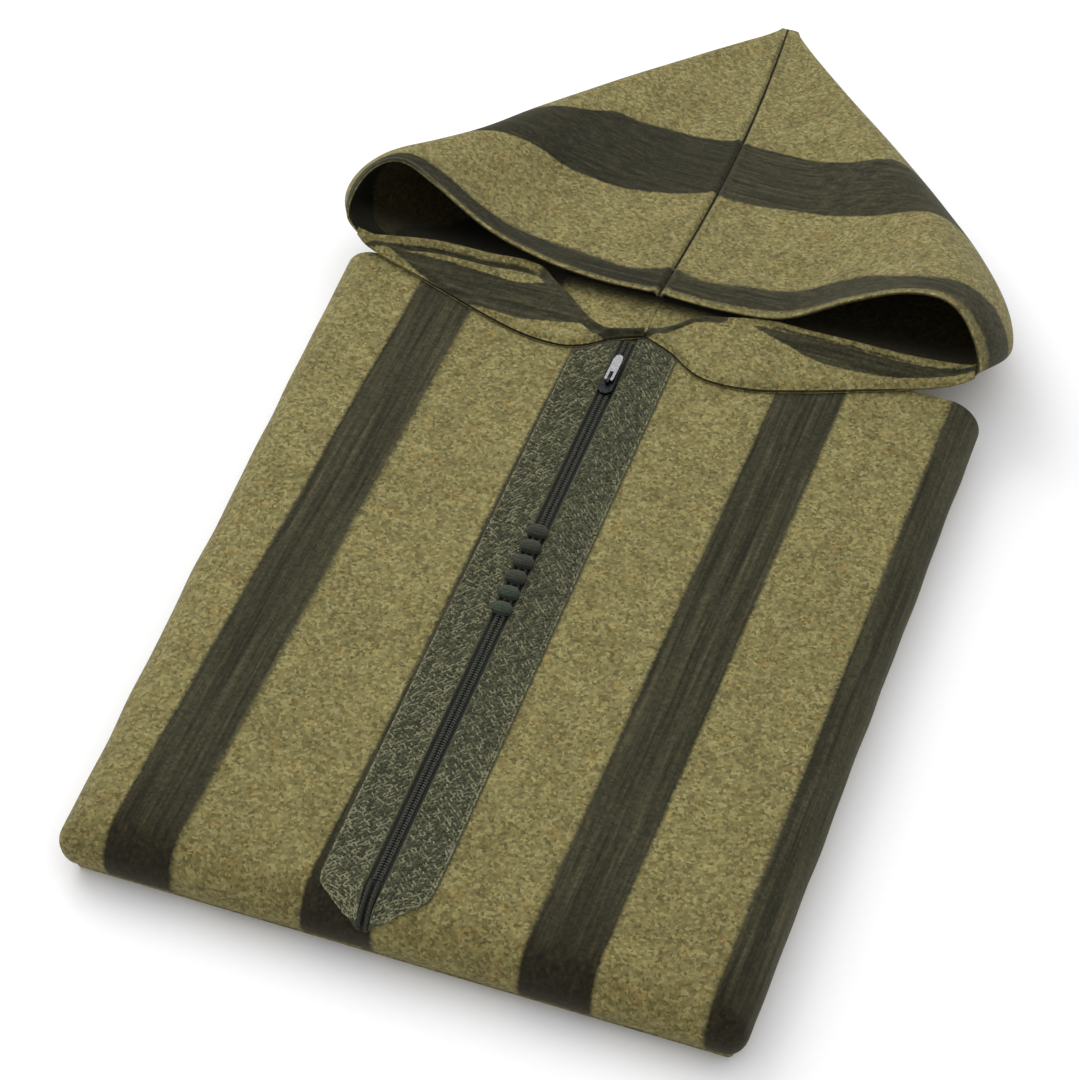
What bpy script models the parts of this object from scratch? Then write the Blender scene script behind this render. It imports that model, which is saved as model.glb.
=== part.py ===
"""Folded hooded robe: a striped, hooded wool garment folded into a flat bundle.

It lies on its back with the front up. The hood is spread out behind the bundle
with its mouth open, a short zip runs down the front between two braid bands,
and six knot buttons sit on the zip. Metres, +Z up. The origin is the middle of
the bundle's flat underside. The hood points along +Y and the front fold is at -Y.
"""
import math

import bmesh
import bpy
import numpy as np
from mathutils import Matrix

# Folded bundle
LENGTH = 0.500
HEIGHT = 0.0436
FOLD_RADIUS = HEIGHT / 2
CLOTH = 0.0022
GAP = 0.0003
FRONT_EDGE_Y = -LENGTH / 2
BACK_EDGE_Y = LENGTH / 2

# Plan of the bundle: each corner with its place and the radius that rounds it
BUNDLE_CORNERS = (
    {"name": "back_left", "x": -0.228, "y": BACK_EDGE_Y, "radius": 0.0028},
    {"name": "front_left", "x": -0.200, "y": FRONT_EDGE_Y, "radius": 0.010},
    {"name": "front_right", "x": 0.202, "y": FRONT_EDGE_Y, "radius": 0.012},
    {"name": "back_right", "x": 0.198, "y": BACK_EDGE_Y, "radius": 0.0028},
)
SIDE_POINTS = 9
CORNER_POINTS = 7
PANEL_BACK_Y = BACK_EDGE_Y - 0.0095

# Hidden layers, whose edges show at the back end and below the front panel's folds
LAYER_COUNT = 5
LAYER_BULGE = 0.0030
LAYER_SETBACK = 0.0008
LAYER_SETBACK_MOST = 0.0066
BOTTOM_LAYER_HEIGHT = 0.0046
BOTTOM_LAYER_SETBACK = 0.0085
PANEL_END_ANGLE = math.radians(-50)

# Zip line, which leans a little to the left towards the neck
ZIP_FRONT_X = -0.0165
ZIP_LEAN = -0.0214
ZIP_START = 0.025
ZIP_END = 0.478
SLIT_HALF = 0.0047
TAPE_HALF = 0.0044
TAPE_LIFT = 0.0002
TAPE_THICKNESS = 0.0010
COIL_RADIUS = 0.0015
COIL_SIDE = 0.0016
COIL_RISE = 1.5 * COIL_RADIUS

# Braid bands of the placket
BAND_INNER = 0.0051
BAND_LEFT_OUTER = 0.0312
BAND_RIGHT_OUTER = 0.0336
BAND_THICKNESS = 0.0012
BAND_TOP_CLEAR = 0.0012
LEFT_CORNER_ARC = -0.0066
RIGHT_CORNER_ARC = -0.0015
TIP_ARC = -0.0255
POINT_BLUNT = 0.0024
POINT_ROWS = 10
BEND_ROWS = 5
BEND_ARC = 0.006
STRAIGHT_ROWS = 14

# Cords from the zip's end to the placket's point
CORD_RADIUS = 0.0012
CORD_OFFSET = 0.0022

# Slider and pull tab
SLIDER_Y = 0.4325
SLIDER_LENGTH = 0.0150
SLIDER_NECK = 0.0052
SLIDER_WIDTH = 0.0092
SLIDER_HEIGHT = 0.0024
BRIDGE_HEIGHT = 0.0034
BRIDGE_WIDTH = 0.0016
BRIDGE_REACH = 0.0038
BRIDGE_SINK = 0.0004
PIVOT_RADIUS = 0.0007
TAB_LENGTH = 0.0220
TAB_WIDTH = 0.0058
TAB_THICKNESS = 0.0012
TAB_PLAY = 0.0004
TAB_HEEL = 0.0016
FORK_END = 0.0062
PIN_SINK = 0.0005

# Knot buttons
KNOT_COUNT = 6
KNOT_FIRST_Y = 0.2995
KNOT_PITCH = 0.0131
KNOT_SIDE = 0.0004
KNOT_WIDTH = 0.0066
KNOT_LENGTH = 0.0062
KNOT_RISE = 0.0050
KNOT_CUT_ANGLE = -40

# Hood in plan: half widths of the two folds against distance from the front fold
HOOD_AXIS_MOUTH_X = -0.0165
HOOD_AXIS_TIP_X = -0.0350
HOOD_AXIS_BOW = 0.0065
HOOD_PLAN = (
    {"y": 0.508, "left": 0.2100, "right": 0.2100},
    {"y": 0.528, "left": 0.2185, "right": 0.2190},
    {"y": 0.550, "left": 0.2185, "right": 0.2225},
    {"y": 0.580, "left": 0.1990, "right": 0.2180},
    {"y": 0.620, "left": 0.1700, "right": 0.1970},
    {"y": 0.665, "left": 0.1445, "right": 0.1640},
    {"y": 0.725, "left": 0.1037, "right": 0.1150},
    {"y": 0.790, "left": 0.0540, "right": 0.0580},
    {"y": 0.838, "left": 0.0155, "right": 0.0155},
    {"y": 0.851, "left": 0.0065, "right": 0.0065},
)
# Hood mouth, upper lip: share of the half width, place and height of the edge
LEFT_LIP = (
    {"share": 0.00, "y": 0.5140, "z": 0.0565},
    {"share": 0.20, "y": 0.5130, "z": 0.0570},
    {"share": 0.38, "y": 0.5150, "z": 0.0615},
    {"share": 0.56, "y": 0.5190, "z": 0.0740},
    {"share": 0.72, "y": 0.5320, "z": 0.0910},
    {"share": 0.86, "y": 0.5500, "z": 0.1010},
    {"share": 1.00, "y": 0.5400, "z": 0.1000},
)
RIGHT_LIP = (
    {"share": 0.00, "y": 0.5140, "z": 0.0565},
    {"share": 0.20, "y": 0.5130, "z": 0.0560},
    {"share": 0.38, "y": 0.5150, "z": 0.0600},
    {"share": 0.56, "y": 0.5190, "z": 0.0830},
    {"share": 0.72, "y": 0.5260, "z": 0.0985},
    {"share": 0.86, "y": 0.5340, "z": 0.1010},
    {"share": 1.00, "y": 0.5270, "z": 0.0960},
)
# Neck seam, the front edge of the hood's lower wall
NECK_SEAM = (
    {"share": 0.00, "y": 0.4835},
    {"share": 0.10, "y": 0.4740},
    {"share": 0.20, "y": 0.4630},
    {"share": 0.34, "y": 0.4610},
    {"share": 0.50, "y": 0.4690},
    {"share": 0.66, "y": 0.4815},
    {"share": 0.82, "y": 0.4930},
    {"share": 0.92, "y": 0.4990},
    {"share": 1.00, "y": 0.5060},
)
HOOD_TIP_Y = 0.852
HOOD_TIP_Z = 0.0130
HOOD_WALL = 0.0020
HOOD_ROWS = 22
HOOD_UPPER_COLUMNS = 15
HOOD_LOWER_COLUMNS = 13
FOLD_SHARPNESS = 9.0
FOLD_MIDDLE = 0.36
DRAPE_START_Y = 0.505
DRAPE_END_Y = 0.594
SEAM_HALF_GAP = 0.00015

# Turned-down front corners of the hood: free edge against share of half width
LEFT_FREE_EDGE = (
    {"share": 0.105, "y": 0.4790, "lift": 0.0008},
    {"share": 0.20, "y": 0.4850, "lift": 0.0020},
    {"share": 0.30, "y": 0.5010, "lift": 0.0050},
    {"share": 0.40, "y": 0.5110, "lift": 0.0065},
    {"share": 0.55, "y": 0.5130, "lift": 0.0065},
    {"share": 0.72, "y": 0.5120, "lift": 0.0060},
    {"share": 0.89, "y": 0.5100, "lift": 0.0030},
)
RIGHT_FREE_EDGE = (
    {"share": 0.02, "y": 0.4810, "lift": 0.0010},
    {"share": 0.12, "y": 0.5040, "lift": 0.0040},
    {"share": 0.24, "y": 0.5100, "lift": 0.0055},
    {"share": 0.38, "y": 0.5120, "lift": 0.0060},
    {"share": 0.54, "y": 0.5190, "lift": 0.0090},
    {"share": 0.72, "y": 0.5130, "lift": 0.0060},
    {"share": 0.90, "y": 0.5130, "lift": 0.0030},
)
CORNER_START_SETBACK = 0.0016
CORNER_COLUMNS = 22
CORNER_ROWS = 6

MATERIALS = {
    "wool_light": {"colour": (0.262, 0.232, 0.098), "roughness": 0.95, "metallic": 0.0},
    "wool_dark": {"colour": (0.045, 0.043, 0.029), "roughness": 0.92, "metallic": 0.0},
    "braid": {"colour": (0.115, 0.130, 0.082), "roughness": 0.88, "metallic": 0.0},
    "zip_cloth": {"colour": (0.016, 0.019, 0.016), "roughness": 0.75, "metallic": 0.0},
    "knot_cord": {"colour": (0.028, 0.038, 0.028), "roughness": 0.85, "metallic": 0.0},
    "zip_metal": {"colour": (0.100, 0.102, 0.104), "roughness": 0.35, "metallic": 1.0},
    "tab_metal": {"colour": (0.560, 0.565, 0.570), "roughness": 0.28, "metallic": 1.0},
}


def clear_scene():
    for item in list(bpy.data.objects):
        bpy.data.objects.remove(item, do_unlink=True)


def make_materials():
    made = {}
    for name, look in MATERIALS.items():
        material = bpy.data.materials.new(name)
        material.use_nodes = True
        shader = material.node_tree.nodes["Principled BSDF"]
        shader.inputs["Base Color"].default_value = (*look["colour"], 1.0)
        shader.inputs["Roughness"].default_value = look["roughness"]
        shader.inputs["Metallic"].default_value = look["metallic"]
        made[name] = material
    return made


def smooth_step(low, high, value):
    t = np.clip((np.asarray(value, float) - low) / (high - low), 0.0, 1.0)
    return t * t * (3 - 2 * t)


def from_table(table, key, column, value):
    """Smooth reading of one column of a table, against its key column."""
    keys = np.array([row[key] for row in table], float)
    values = np.array([row[column] for row in table], float)
    slopes = np.gradient(values, keys)
    value = np.clip(np.asarray(value, float), keys[0], keys[-1])
    index = np.clip(np.searchsorted(keys, value, side="right") - 1, 0, len(keys) - 2)
    span = keys[index + 1] - keys[index]
    t = (value - keys[index]) / span
    return (
        (2 * t**3 - 3 * t**2 + 1) * values[index]
        + (t**3 - 2 * t**2 + t) * span * slopes[index]
        + (3 * t**2 - 2 * t**3) * values[index + 1]
        + (t**3 - t**2) * span * slopes[index + 1]
    )


def add_object(name, mesh_builder, material, smooth_angle=40.0):
    """New object from a bmesh, normals out, shaded smooth below the angle."""
    mesh = bpy.data.meshes.new(name)
    bmesh.ops.recalc_face_normals(mesh_builder, faces=mesh_builder.faces[:])
    if mesh_builder.calc_volume(signed=True) < 0:
        bmesh.ops.reverse_faces(mesh_builder, faces=mesh_builder.faces[:])
    mesh_builder.to_mesh(mesh)
    mesh_builder.free()
    mesh.shade_smooth()
    mesh.set_sharp_from_angle(angle=math.radians(smooth_angle))
    item = bpy.data.objects.new(name, mesh)
    bpy.context.scene.collection.objects.link(item)
    item.data.materials.append(material)
    return item


def add_grid(builder, points, wrap=False):
    """Vertices and quads of a grid of points, rows by columns."""
    rows, columns = points.shape[:2]
    verts = [[builder.verts.new(points[i, j]) for j in range(columns)] for i in range(rows)]
    last = columns if wrap else columns - 1
    for i in range(rows - 1):
        for j in range(last):
            k = (j + 1) % columns
            builder.faces.new((verts[i][j], verts[i][k], verts[i + 1][k], verts[i + 1][j]))
    return verts


def add_rim(builder, edge_a, edge_b, wrap=False):
    """Quads between two rows of vertices of the same length."""
    count = len(edge_a)
    for j in range(count if wrap else count - 1):
        k = (j + 1) % count
        builder.faces.new((edge_a[j], edge_a[k], edge_b[k], edge_b[j]))


def wall_mesh(outer, inner):
    """Closed wall between two grids of points of the same shape."""
    builder = bmesh.new()
    out = add_grid(builder, outer)
    inn = add_grid(builder, inner)
    add_rim(builder, out[0], inn[0])
    add_rim(builder, out[-1], inn[-1])
    add_rim(builder, [row[0] for row in out], [row[0] for row in inn])
    add_rim(builder, [row[-1] for row in out], [row[-1] for row in inn])
    return builder


def grid_normals(points):
    """Unit normals of a grid of points, from its neighbours."""
    across = np.gradient(points, axis=1)
    along = np.gradient(points, axis=0)
    normal = np.cross(across, along)
    return normal / np.linalg.norm(normal, axis=2, keepdims=True)


def bundle_ring(inset, closed=True, back_inset=0.0):
    """Plan outline of the bundle, moved in by inset, as x and y for each point.

    It starts on the left side near the back corner and runs by the front. An
    open ring stops on the right side at the same distance from the back. The
    back edge has its own inset.
    """
    corners = [np.array([c["x"], c["y"]]) for c in BUNDLE_CORNERS]
    radii = [c["radius"] for c in BUNDLE_CORNERS]
    count = len(corners)
    edge_insets = [inset, inset, inset, back_inset]
    moved = []
    for i in range(count):
        before = corners[i - 1]
        here = corners[i]
        after = corners[(i + 1) % count]
        edge_in = (here - before) / np.linalg.norm(here - before)
        edge_out = (after - here) / np.linalg.norm(after - here)
        inward = np.array([[-edge_in[1], edge_in[0]], [-edge_out[1], edge_out[0]]])
        moved.append(here + np.linalg.solve(inward, [edge_insets[i - 1], edge_insets[i]]))
    arcs = []
    for i in range(count):
        before = moved[i - 1]
        here = moved[i]
        after = moved[(i + 1) % count]
        to_before = (before - here) / np.linalg.norm(before - here)
        to_after = (after - here) / np.linalg.norm(after - here)
        radius = radii[i] if radii[i] < 0.005 else max(radii[i] - inset, 0.0015)
        half_angle = math.acos(float(np.clip(to_before @ to_after, -1, 1))) / 2
        reach = radius / math.tan(half_angle)
        bisector = (to_before + to_after) / np.linalg.norm(to_before + to_after)
        centre = here + bisector * radius / math.sin(half_angle)
        start = here + to_before * reach - centre
        end = here + to_after * reach - centre
        first = math.atan2(start[1], start[0])
        turn = math.atan2(end[1], end[0]) - first
        turn = (turn + math.pi) % (2 * math.pi) - math.pi
        steps = np.linspace(0, 1, CORNER_POINTS)
        angles = first + turn * steps
        arcs.append(centre + radius * np.stack([np.cos(angles), np.sin(angles)], 1))
    ring = []

    def side(start, end, with_start):
        steps = np.linspace(0, 1, SIDE_POINTS + 2)
        chosen = steps[0:-1] if with_start else steps[1:-1]
        ring.extend(start + (end - start) * t for t in chosen)

    def at_panel_end(start, end):
        t = (PANEL_BACK_Y - start[1]) / (end[1] - start[1])
        return start + (end - start) * t

    left_end = at_panel_end(arcs[0][-1], arcs[1][0])
    right_end = at_panel_end(arcs[2][-1], arcs[3][0])
    side(left_end, arcs[1][0], True)
    ring.extend(arcs[1])
    side(arcs[1][-1], arcs[2][0], False)
    ring.extend(arcs[2])
    side(arcs[2][-1], right_end, False)
    ring.append(right_end)
    if closed:
        ring.extend(arcs[3])
        side(arcs[3][-1], arcs[0][0], False)
        ring.extend(arcs[0])
    return np.array(ring)


def folded_layers(materials):
    """Hidden layers as one rounded solid, with the edges of its layers showing."""
    covered_radius = FOLD_RADIUS - CLOTH - GAP
    top = HEIGHT - CLOTH - GAP
    layer = HEIGHT / LAYER_COUNT
    heights = []
    for i in range(LAYER_COUNT):
        centre = HEIGHT - (i + 0.5) * layer
        heights += [centre + 0.28 * layer, centre, centre - 0.28 * layer, centre - 0.5 * layer]
    shoulder = BOTTOM_LAYER_HEIGHT + 0.0016
    heights = [top] + [z for z in heights if shoulder < z < top - 0.0005] + [shoulder]
    bottom_steps = np.linspace(0, 1, 6)
    heights += [BOTTOM_LAYER_HEIGHT * (1 - t) for t in bottom_steps]
    rows = []
    for z in heights:
        inside = max(covered_radius**2 - (z - FOLD_RADIUS) ** 2, 0.0)
        covered = FOLD_RADIUS - math.sqrt(inside)
        if z <= BOTTOM_LAYER_HEIGHT + 1e-6:
            low = 2 * z / BOTTOM_LAYER_HEIGHT - 1
            covered = BOTTOM_LAYER_SETBACK + 0.5 * BOTTOM_LAYER_HEIGHT * (1 - math.sqrt(1 - low * low))
        full = FOLD_RADIUS - math.sqrt(max(FOLD_RADIUS**2 - (z - FOLD_RADIUS) ** 2, 0.0))
        phase = ((HEIGHT - z) / layer) % 1.0
        groove = LAYER_BULGE * (1 - math.sin(math.pi * phase) ** 0.6)
        layered = min(LAYER_SETBACK + 0.2 * full + groove, LAYER_SETBACK_MOST)
        ring = bundle_ring(covered, back_inset=layered)
        rows.append(np.column_stack([ring, np.full(len(ring), z)]))
    builder = bmesh.new()
    verts = add_grid(builder, np.array(rows), wrap=True)
    builder.faces.new(verts[0])
    builder.faces.new(list(reversed(verts[-1])))
    return add_object("folded_layers", builder, materials["wool_light"])


def panel_rows(radius, steps):
    """Rows of the front panel's surface round the folds, from the top down."""
    rows = []
    for angle in np.linspace(math.pi / 2, PANEL_END_ANGLE, steps):
        outline = bundle_ring(FOLD_RADIUS - radius * math.cos(angle), closed=False)
        z = FOLD_RADIUS + radius * math.sin(angle)
        rows.append(np.column_stack([outline, np.full(len(outline), z)]))
    return np.array(rows)


def front_panel(materials):
    """One wall over the top, the front fold and both sides, slit for the zip."""
    outer = panel_rows(FOLD_RADIUS, 12)
    inner = panel_rows(FOLD_RADIUS - CLOTH, 12)
    builder = bmesh.new()
    out = add_grid(builder, outer)
    inn = add_grid(builder, inner)
    add_rim(builder, out[-1], inn[-1])
    add_rim(builder, [row[0] for row in out], [row[0] for row in inn])
    add_rim(builder, [row[-1] for row in out], [row[-1] for row in inn])
    builder.faces.new(out[0])
    builder.faces.new(list(reversed(inn[0])))
    builder.faces.new((out[0][0], inn[0][0], inn[0][-1], out[0][-1]))
    panel = add_object("front_panel", builder, materials["wool_light"])
    cut_builder = bmesh.new()
    low = HEIGHT - 3 * CLOTH
    high = HEIGHT + 2 * CLOTH
    start = ZIP_START - GAP
    end = 1.02 * LENGTH
    corners = []
    for z in (low, high):
        for y, sign in ((start, -1), (start, 1), (end, 1), (end, -1)):
            corners.append((zip_x(y) + sign * SLIT_HALF, y + FRONT_EDGE_Y, z))
    verts = [cut_builder.verts.new(corner) for corner in corners]
    for face in ((3, 2, 1, 0), (4, 5, 6, 7), (0, 1, 5, 4), (1, 2, 6, 5), (2, 3, 7, 6), (3, 0, 4, 7)):
        cut_builder.faces.new([verts[i] for i in face])
    cutter = add_object("slit_cutter", cut_builder, materials["wool_light"])
    cutter.hide_render = True
    cutter.display_type = "WIRE"
    cut = panel.modifiers.new("zip_slit", "BOOLEAN")
    cut.operation = "DIFFERENCE"
    cut.solver = "EXACT"
    cut.object = cutter
    return panel


def zip_x(distance):
    """Side place of the zip line at a distance from the front fold."""
    return ZIP_FRONT_X + ZIP_LEAN * (distance - ZIP_START)


def over_front(arc, side, lift):
    """Point on the front panel, moved out by lift.

    Arc is the length along the cloth from where the front fold begins: positive
    along the top, negative down over the fold. Side is the place beside the zip.
    """
    radius = FOLD_RADIUS + lift
    if arc >= 0:
        distance = FOLD_RADIUS + arc
        z = HEIGHT + lift
    else:
        angle = -arc / FOLD_RADIUS
        distance = FOLD_RADIUS - radius * math.sin(angle)
        z = HEIGHT - FOLD_RADIUS + radius * math.cos(angle)
    return (zip_x(distance) + side, distance + FRONT_EDGE_Y, z)


def placket_band(name, sign, outer, corner_arc, materials):
    """Flat braid beside the zip, over the fold to the point of the placket."""
    cord_side = CORD_OFFSET + CORD_RADIUS + GAP
    rows = []
    for t in np.linspace(0, 1, POINT_ROWS):
        rows.append(
            {
                "inner_arc": TIP_ARC * (1 - t),
                "outer_arc": TIP_ARC + POINT_BLUNT + (corner_arc - TIP_ARC - POINT_BLUNT) * t,
                "inner_side": cord_side + (BAND_INNER - cord_side) * smooth_step(0.3, 1.0, t),
                "outer_side": cord_side + POINT_BLUNT + (outer - cord_side - POINT_BLUNT) * t,
            }
        )
    for t in np.linspace(0, 1, BEND_ROWS + 1)[1:]:
        rows.append(
            {
                "inner_arc": BEND_ARC * t,
                "outer_arc": corner_arc + (BEND_ARC - corner_arc) * t,
                "inner_side": BAND_INNER,
                "outer_side": outer,
            }
        )
    inner_end = neck_seam_y(zip_x(ZIP_END) + sign * BAND_INNER) - BAND_TOP_CLEAR - FOLD_RADIUS
    outer_end = neck_seam_y(zip_x(ZIP_END) + sign * outer) - BAND_TOP_CLEAR - FOLD_RADIUS
    for t in np.linspace(0, 1, STRAIGHT_ROWS):
        rows.append(
            {
                "inner_arc": 2 * BEND_ARC + (inner_end - 2 * BEND_ARC) * t,
                "outer_arc": 2 * BEND_ARC + (outer_end - 2 * BEND_ARC) * t,
                "inner_side": BAND_INNER,
                "outer_side": outer,
            }
        )
    lower = []
    upper = []
    for row in rows:
        low_row = []
        high_row = []
        for t in np.linspace(0, 1, 5):
            arc = row["inner_arc"] + (row["outer_arc"] - row["inner_arc"]) * t
            side = sign * (row["inner_side"] + (row["outer_side"] - row["inner_side"]) * t)
            crown = BAND_THICKNESS * (0.72 + 0.28 * math.sin(math.pi * t))
            low_row.append(over_front(arc, side, GAP))
            high_row.append(over_front(arc, side, GAP + crown))
        lower.append(low_row)
        upper.append(high_row)
    builder = wall_mesh(np.array(upper), np.array(lower))
    return add_object(name, builder, materials["braid"])


def zip_half(name, sign, materials):
    """Tape and coil of one side of the zip, lying in the panel's slit."""
    base = HEIGHT - CLOTH + TAPE_LIFT
    profile = [(GAP / 2, base)]
    profile += [(TAPE_HALF, base), (TAPE_HALF, base + TAPE_THICKNESS)]
    profile += [(COIL_SIDE + COIL_RADIUS, base + TAPE_THICKNESS)]
    for angle in (20, 50, 80, 110, 140):
        turn = math.radians(angle)
        across = COIL_SIDE + COIL_RADIUS * math.cos(turn)
        rise = base + TAPE_THICKNESS + COIL_RISE * math.sin(turn)
        profile.append((max(across, GAP / 2), rise))
    profile.append((GAP / 2, base + TAPE_THICKNESS))
    rows = []
    for distance in np.linspace(ZIP_START, ZIP_END, 12):
        centre = zip_x(distance)
        y = distance + FRONT_EDGE_Y
        rows.append([(centre + sign * across, y, z) for across, z in profile])
    builder = bmesh.new()
    verts = add_grid(builder, np.array(rows), wrap=True)
    builder.faces.new(verts[0])
    builder.faces.new(list(reversed(verts[-1])))
    return add_object(name, builder, materials["zip_cloth"])


def placket_cord(name, sign, materials):
    """Thin cord from the end of the zip over the fold to the placket's point."""
    sides = 8
    rows = []
    start = ZIP_START - FOLD_RADIUS - 0.0012
    for arc in np.linspace(start, TIP_ARC, 9):
        ring = []
        for i in range(sides):
            turn = 2 * math.pi * i / sides
            side = sign * CORD_OFFSET + CORD_RADIUS * math.cos(turn)
            ring.append(over_front(arc, side, GAP + CORD_RADIUS * (1 + math.sin(turn))))
        rows.append(ring)
    builder = bmesh.new()
    verts = add_grid(builder, np.array(rows), wrap=True)
    builder.faces.new(verts[0])
    builder.faces.new(list(reversed(verts[-1])))
    return add_object(name, builder, materials["zip_cloth"])


def prism(builder, outline, low, high):
    """Closed prism of a plan outline between two heights."""
    bottom = [builder.verts.new((x, y, low)) for x, y in outline]
    upper = [builder.verts.new((x, y, high)) for x, y in outline]
    add_rim(builder, bottom, upper, wrap=True)
    builder.faces.new(list(reversed(bottom)))
    builder.faces.new(upper)


def coil_top():
    return HEIGHT - CLOTH + TAPE_LIFT + TAPE_THICKNESS + COIL_RISE


def slider_base():
    return coil_top() + GAP


def pivot_point():
    """Centre of the pull tab's hinge, in the slider's bridge."""
    distance = SLIDER_Y + 0.25 * SLIDER_LENGTH
    z = slider_base() + SLIDER_HEIGHT + 0.55 * BRIDGE_HEIGHT
    return np.array([zip_x(distance), distance + FRONT_EDGE_Y, z])


def rod_along_x(name, radius, length, material):
    """Round rod about its own origin, used to cut or to join and then left out."""
    builder = bmesh.new()
    bmesh.ops.create_cone(
        builder,
        cap_ends=True,
        segments=16,
        radius1=radius,
        radius2=radius,
        depth=length,
    )
    bmesh.ops.rotate(
        builder,
        verts=builder.verts[:],
        cent=(0, 0, 0),
        matrix=Matrix.Rotation(math.pi / 2, 3, "Y"),
    )
    rod = add_object(name, builder, material)
    rod.hide_render = True
    rod.display_type = "WIRE"
    return rod


def slider(materials):
    """Slider body with a bridge on top that carries the pull tab."""
    centre = np.array([zip_x(SLIDER_Y), SLIDER_Y + FRONT_EDGE_Y])
    half = SLIDER_LENGTH / 2
    wide = SLIDER_WIDTH / 2
    neck = SLIDER_NECK / 2
    plan = ((0.62, -1.0), (1.0, -0.55), (1.0, 0.45), (0.78, 0.92))
    outline = []
    for across, along in plan:
        width = wide if along > -0.9 else neck
        outline.append((centre[0] + across * width, centre[1] + along * half))
    outline.append((centre[0], centre[1] + half))
    for across, along in reversed(plan):
        width = wide if along > -0.9 else neck
        outline.append((centre[0] - across * width, centre[1] + along * half))
    builder = bmesh.new()
    base = slider_base()
    prism(builder, outline, base, base + SLIDER_HEIGHT)
    body = add_object("slider", builder, materials["zip_metal"])
    bevel = body.modifiers.new("soft_edges", "BEVEL")
    bevel.width = 0.0005
    bevel.segments = 2
    pivot = pivot_point()
    bridge_builder = bmesh.new()
    top = base + SLIDER_HEIGHT
    reach = BRIDGE_REACH
    section = [(-reach, top - BRIDGE_SINK), (-reach, top + 0.5 * BRIDGE_HEIGHT)]
    for angle in (160, 130, 100, 70, 40, 20):
        turn = math.radians(angle)
        section.append((reach * math.cos(turn), top + BRIDGE_HEIGHT * (0.55 + 0.45 * math.sin(turn))))
    section += [(reach, top + 0.5 * BRIDGE_HEIGHT), (reach, top - BRIDGE_SINK)]
    near = [bridge_builder.verts.new((pivot[0] - BRIDGE_WIDTH / 2, pivot[1] + y, z)) for y, z in section]
    far = [bridge_builder.verts.new((pivot[0] + BRIDGE_WIDTH / 2, pivot[1] + y, z)) for y, z in section]
    add_rim(bridge_builder, near, far, wrap=True)
    bridge_builder.faces.new(near)
    bridge_builder.faces.new(list(reversed(far)))
    bridge = add_object("bridge_cutter", bridge_builder, materials["zip_metal"])
    bridge.hide_render = True
    bridge.display_type = "WIRE"
    eye = rod_along_x("eye_cutter", PIVOT_RADIUS + TAB_PLAY, 2 * SLIDER_WIDTH, materials["zip_metal"])
    eye.location = tuple(pivot)
    for name, operation, tool in (("bridge", "UNION", bridge), ("eye", "DIFFERENCE", eye)):
        step = body.modifiers.new(name, "BOOLEAN")
        step.operation = operation
        step.solver = "EXACT"
        step.object = tool
    return body


def pull_tab(materials):
    """Pull tab: a flat tongue with two arms and a pin through the bridge.

    Its origin is the middle of the pin, on the hinge's axis.
    """
    pivot = tuple(pivot_point())
    fork = BRIDGE_WIDTH / 2 + TAB_PLAY
    arm = TAB_WIDTH / 2
    half = TAB_THICKNESS / 2
    outline = [(fork, -TAB_HEEL), (arm * 0.86, -TAB_HEEL), (arm, 0.0004)]
    outline += [(arm, TAB_LENGTH * 0.80), (arm * 0.72, TAB_LENGTH * 0.95), (arm * 0.30, TAB_LENGTH)]
    outline += [(-arm * 0.30, TAB_LENGTH), (-arm * 0.72, TAB_LENGTH * 0.95), (-arm, TAB_LENGTH * 0.80)]
    outline += [(-arm, 0.0004), (-arm * 0.86, -TAB_HEEL), (-fork, -TAB_HEEL)]
    outline += [(-fork, FORK_END), (fork, FORK_END)]
    builder = bmesh.new()
    prism(builder, outline, -half, half)
    tab = add_object("pull_tab", builder, materials["tab_metal"])
    tab.location = pivot
    pin = rod_along_x("pin_cutter", PIVOT_RADIUS, 2 * (fork + PIN_SINK), materials["tab_metal"])
    pin.location = pivot
    join = tab.modifiers.new("pin", "BOOLEAN")
    join.operation = "UNION"
    join.solver = "EXACT"
    join.object = pin
    return tab


def knot_button(number, materials):
    """One round cord knot on the zip line, flat where it sits."""
    distance = KNOT_FIRST_Y - KNOT_PITCH * (number - 1)
    base = coil_top() + GAP
    centre = (zip_x(distance) + KNOT_SIDE, distance + FRONT_EDGE_Y)
    rows = []
    sides = 18
    for angle in (KNOT_CUT_ANGLE, -22, 0, 22, 45, 66, 82):
        turn = math.radians(angle)
        rise = base + KNOT_RISE * (math.sin(turn) - math.sin(math.radians(KNOT_CUT_ANGLE)))
        ring = []
        for i in range(sides):
            around = 2 * math.pi * i / sides
            lobe = 1 + 0.035 * math.cos(3 * around + 0.6 * number + 2.0 * turn)
            x = centre[0] + KNOT_WIDTH * math.cos(turn) * lobe * math.cos(around)
            y = centre[1] + KNOT_LENGTH * math.cos(turn) * lobe * math.sin(around)
            ring.append((x, y, rise))
        rows.append(ring)
    builder = bmesh.new()
    verts = add_grid(builder, np.array(rows), wrap=True)
    builder.faces.new(verts[0])
    builder.faces.new(list(reversed(verts[-1])))
    return add_object(f"knot_{number}", builder, materials["knot_cord"])


def hood_axis_x(distance):
    """Side place of the hood's centre seam at a distance from the front fold."""
    t = np.clip((np.asarray(distance, float) - 0.46) / (HOOD_TIP_Y - 0.46), 0, 1)
    return HOOD_AXIS_MOUTH_X + (HOOD_AXIS_TIP_X - HOOD_AXIS_MOUTH_X) * t


def neck_seam_y(x):
    """Distance of the neck seam from the front fold, at a side place x."""
    share = abs(x - HOOD_AXIS_MOUTH_X) / HOOD_PLAN[0]["left"]
    return float(from_table(NECK_SEAM, "share", "y", share))


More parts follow.
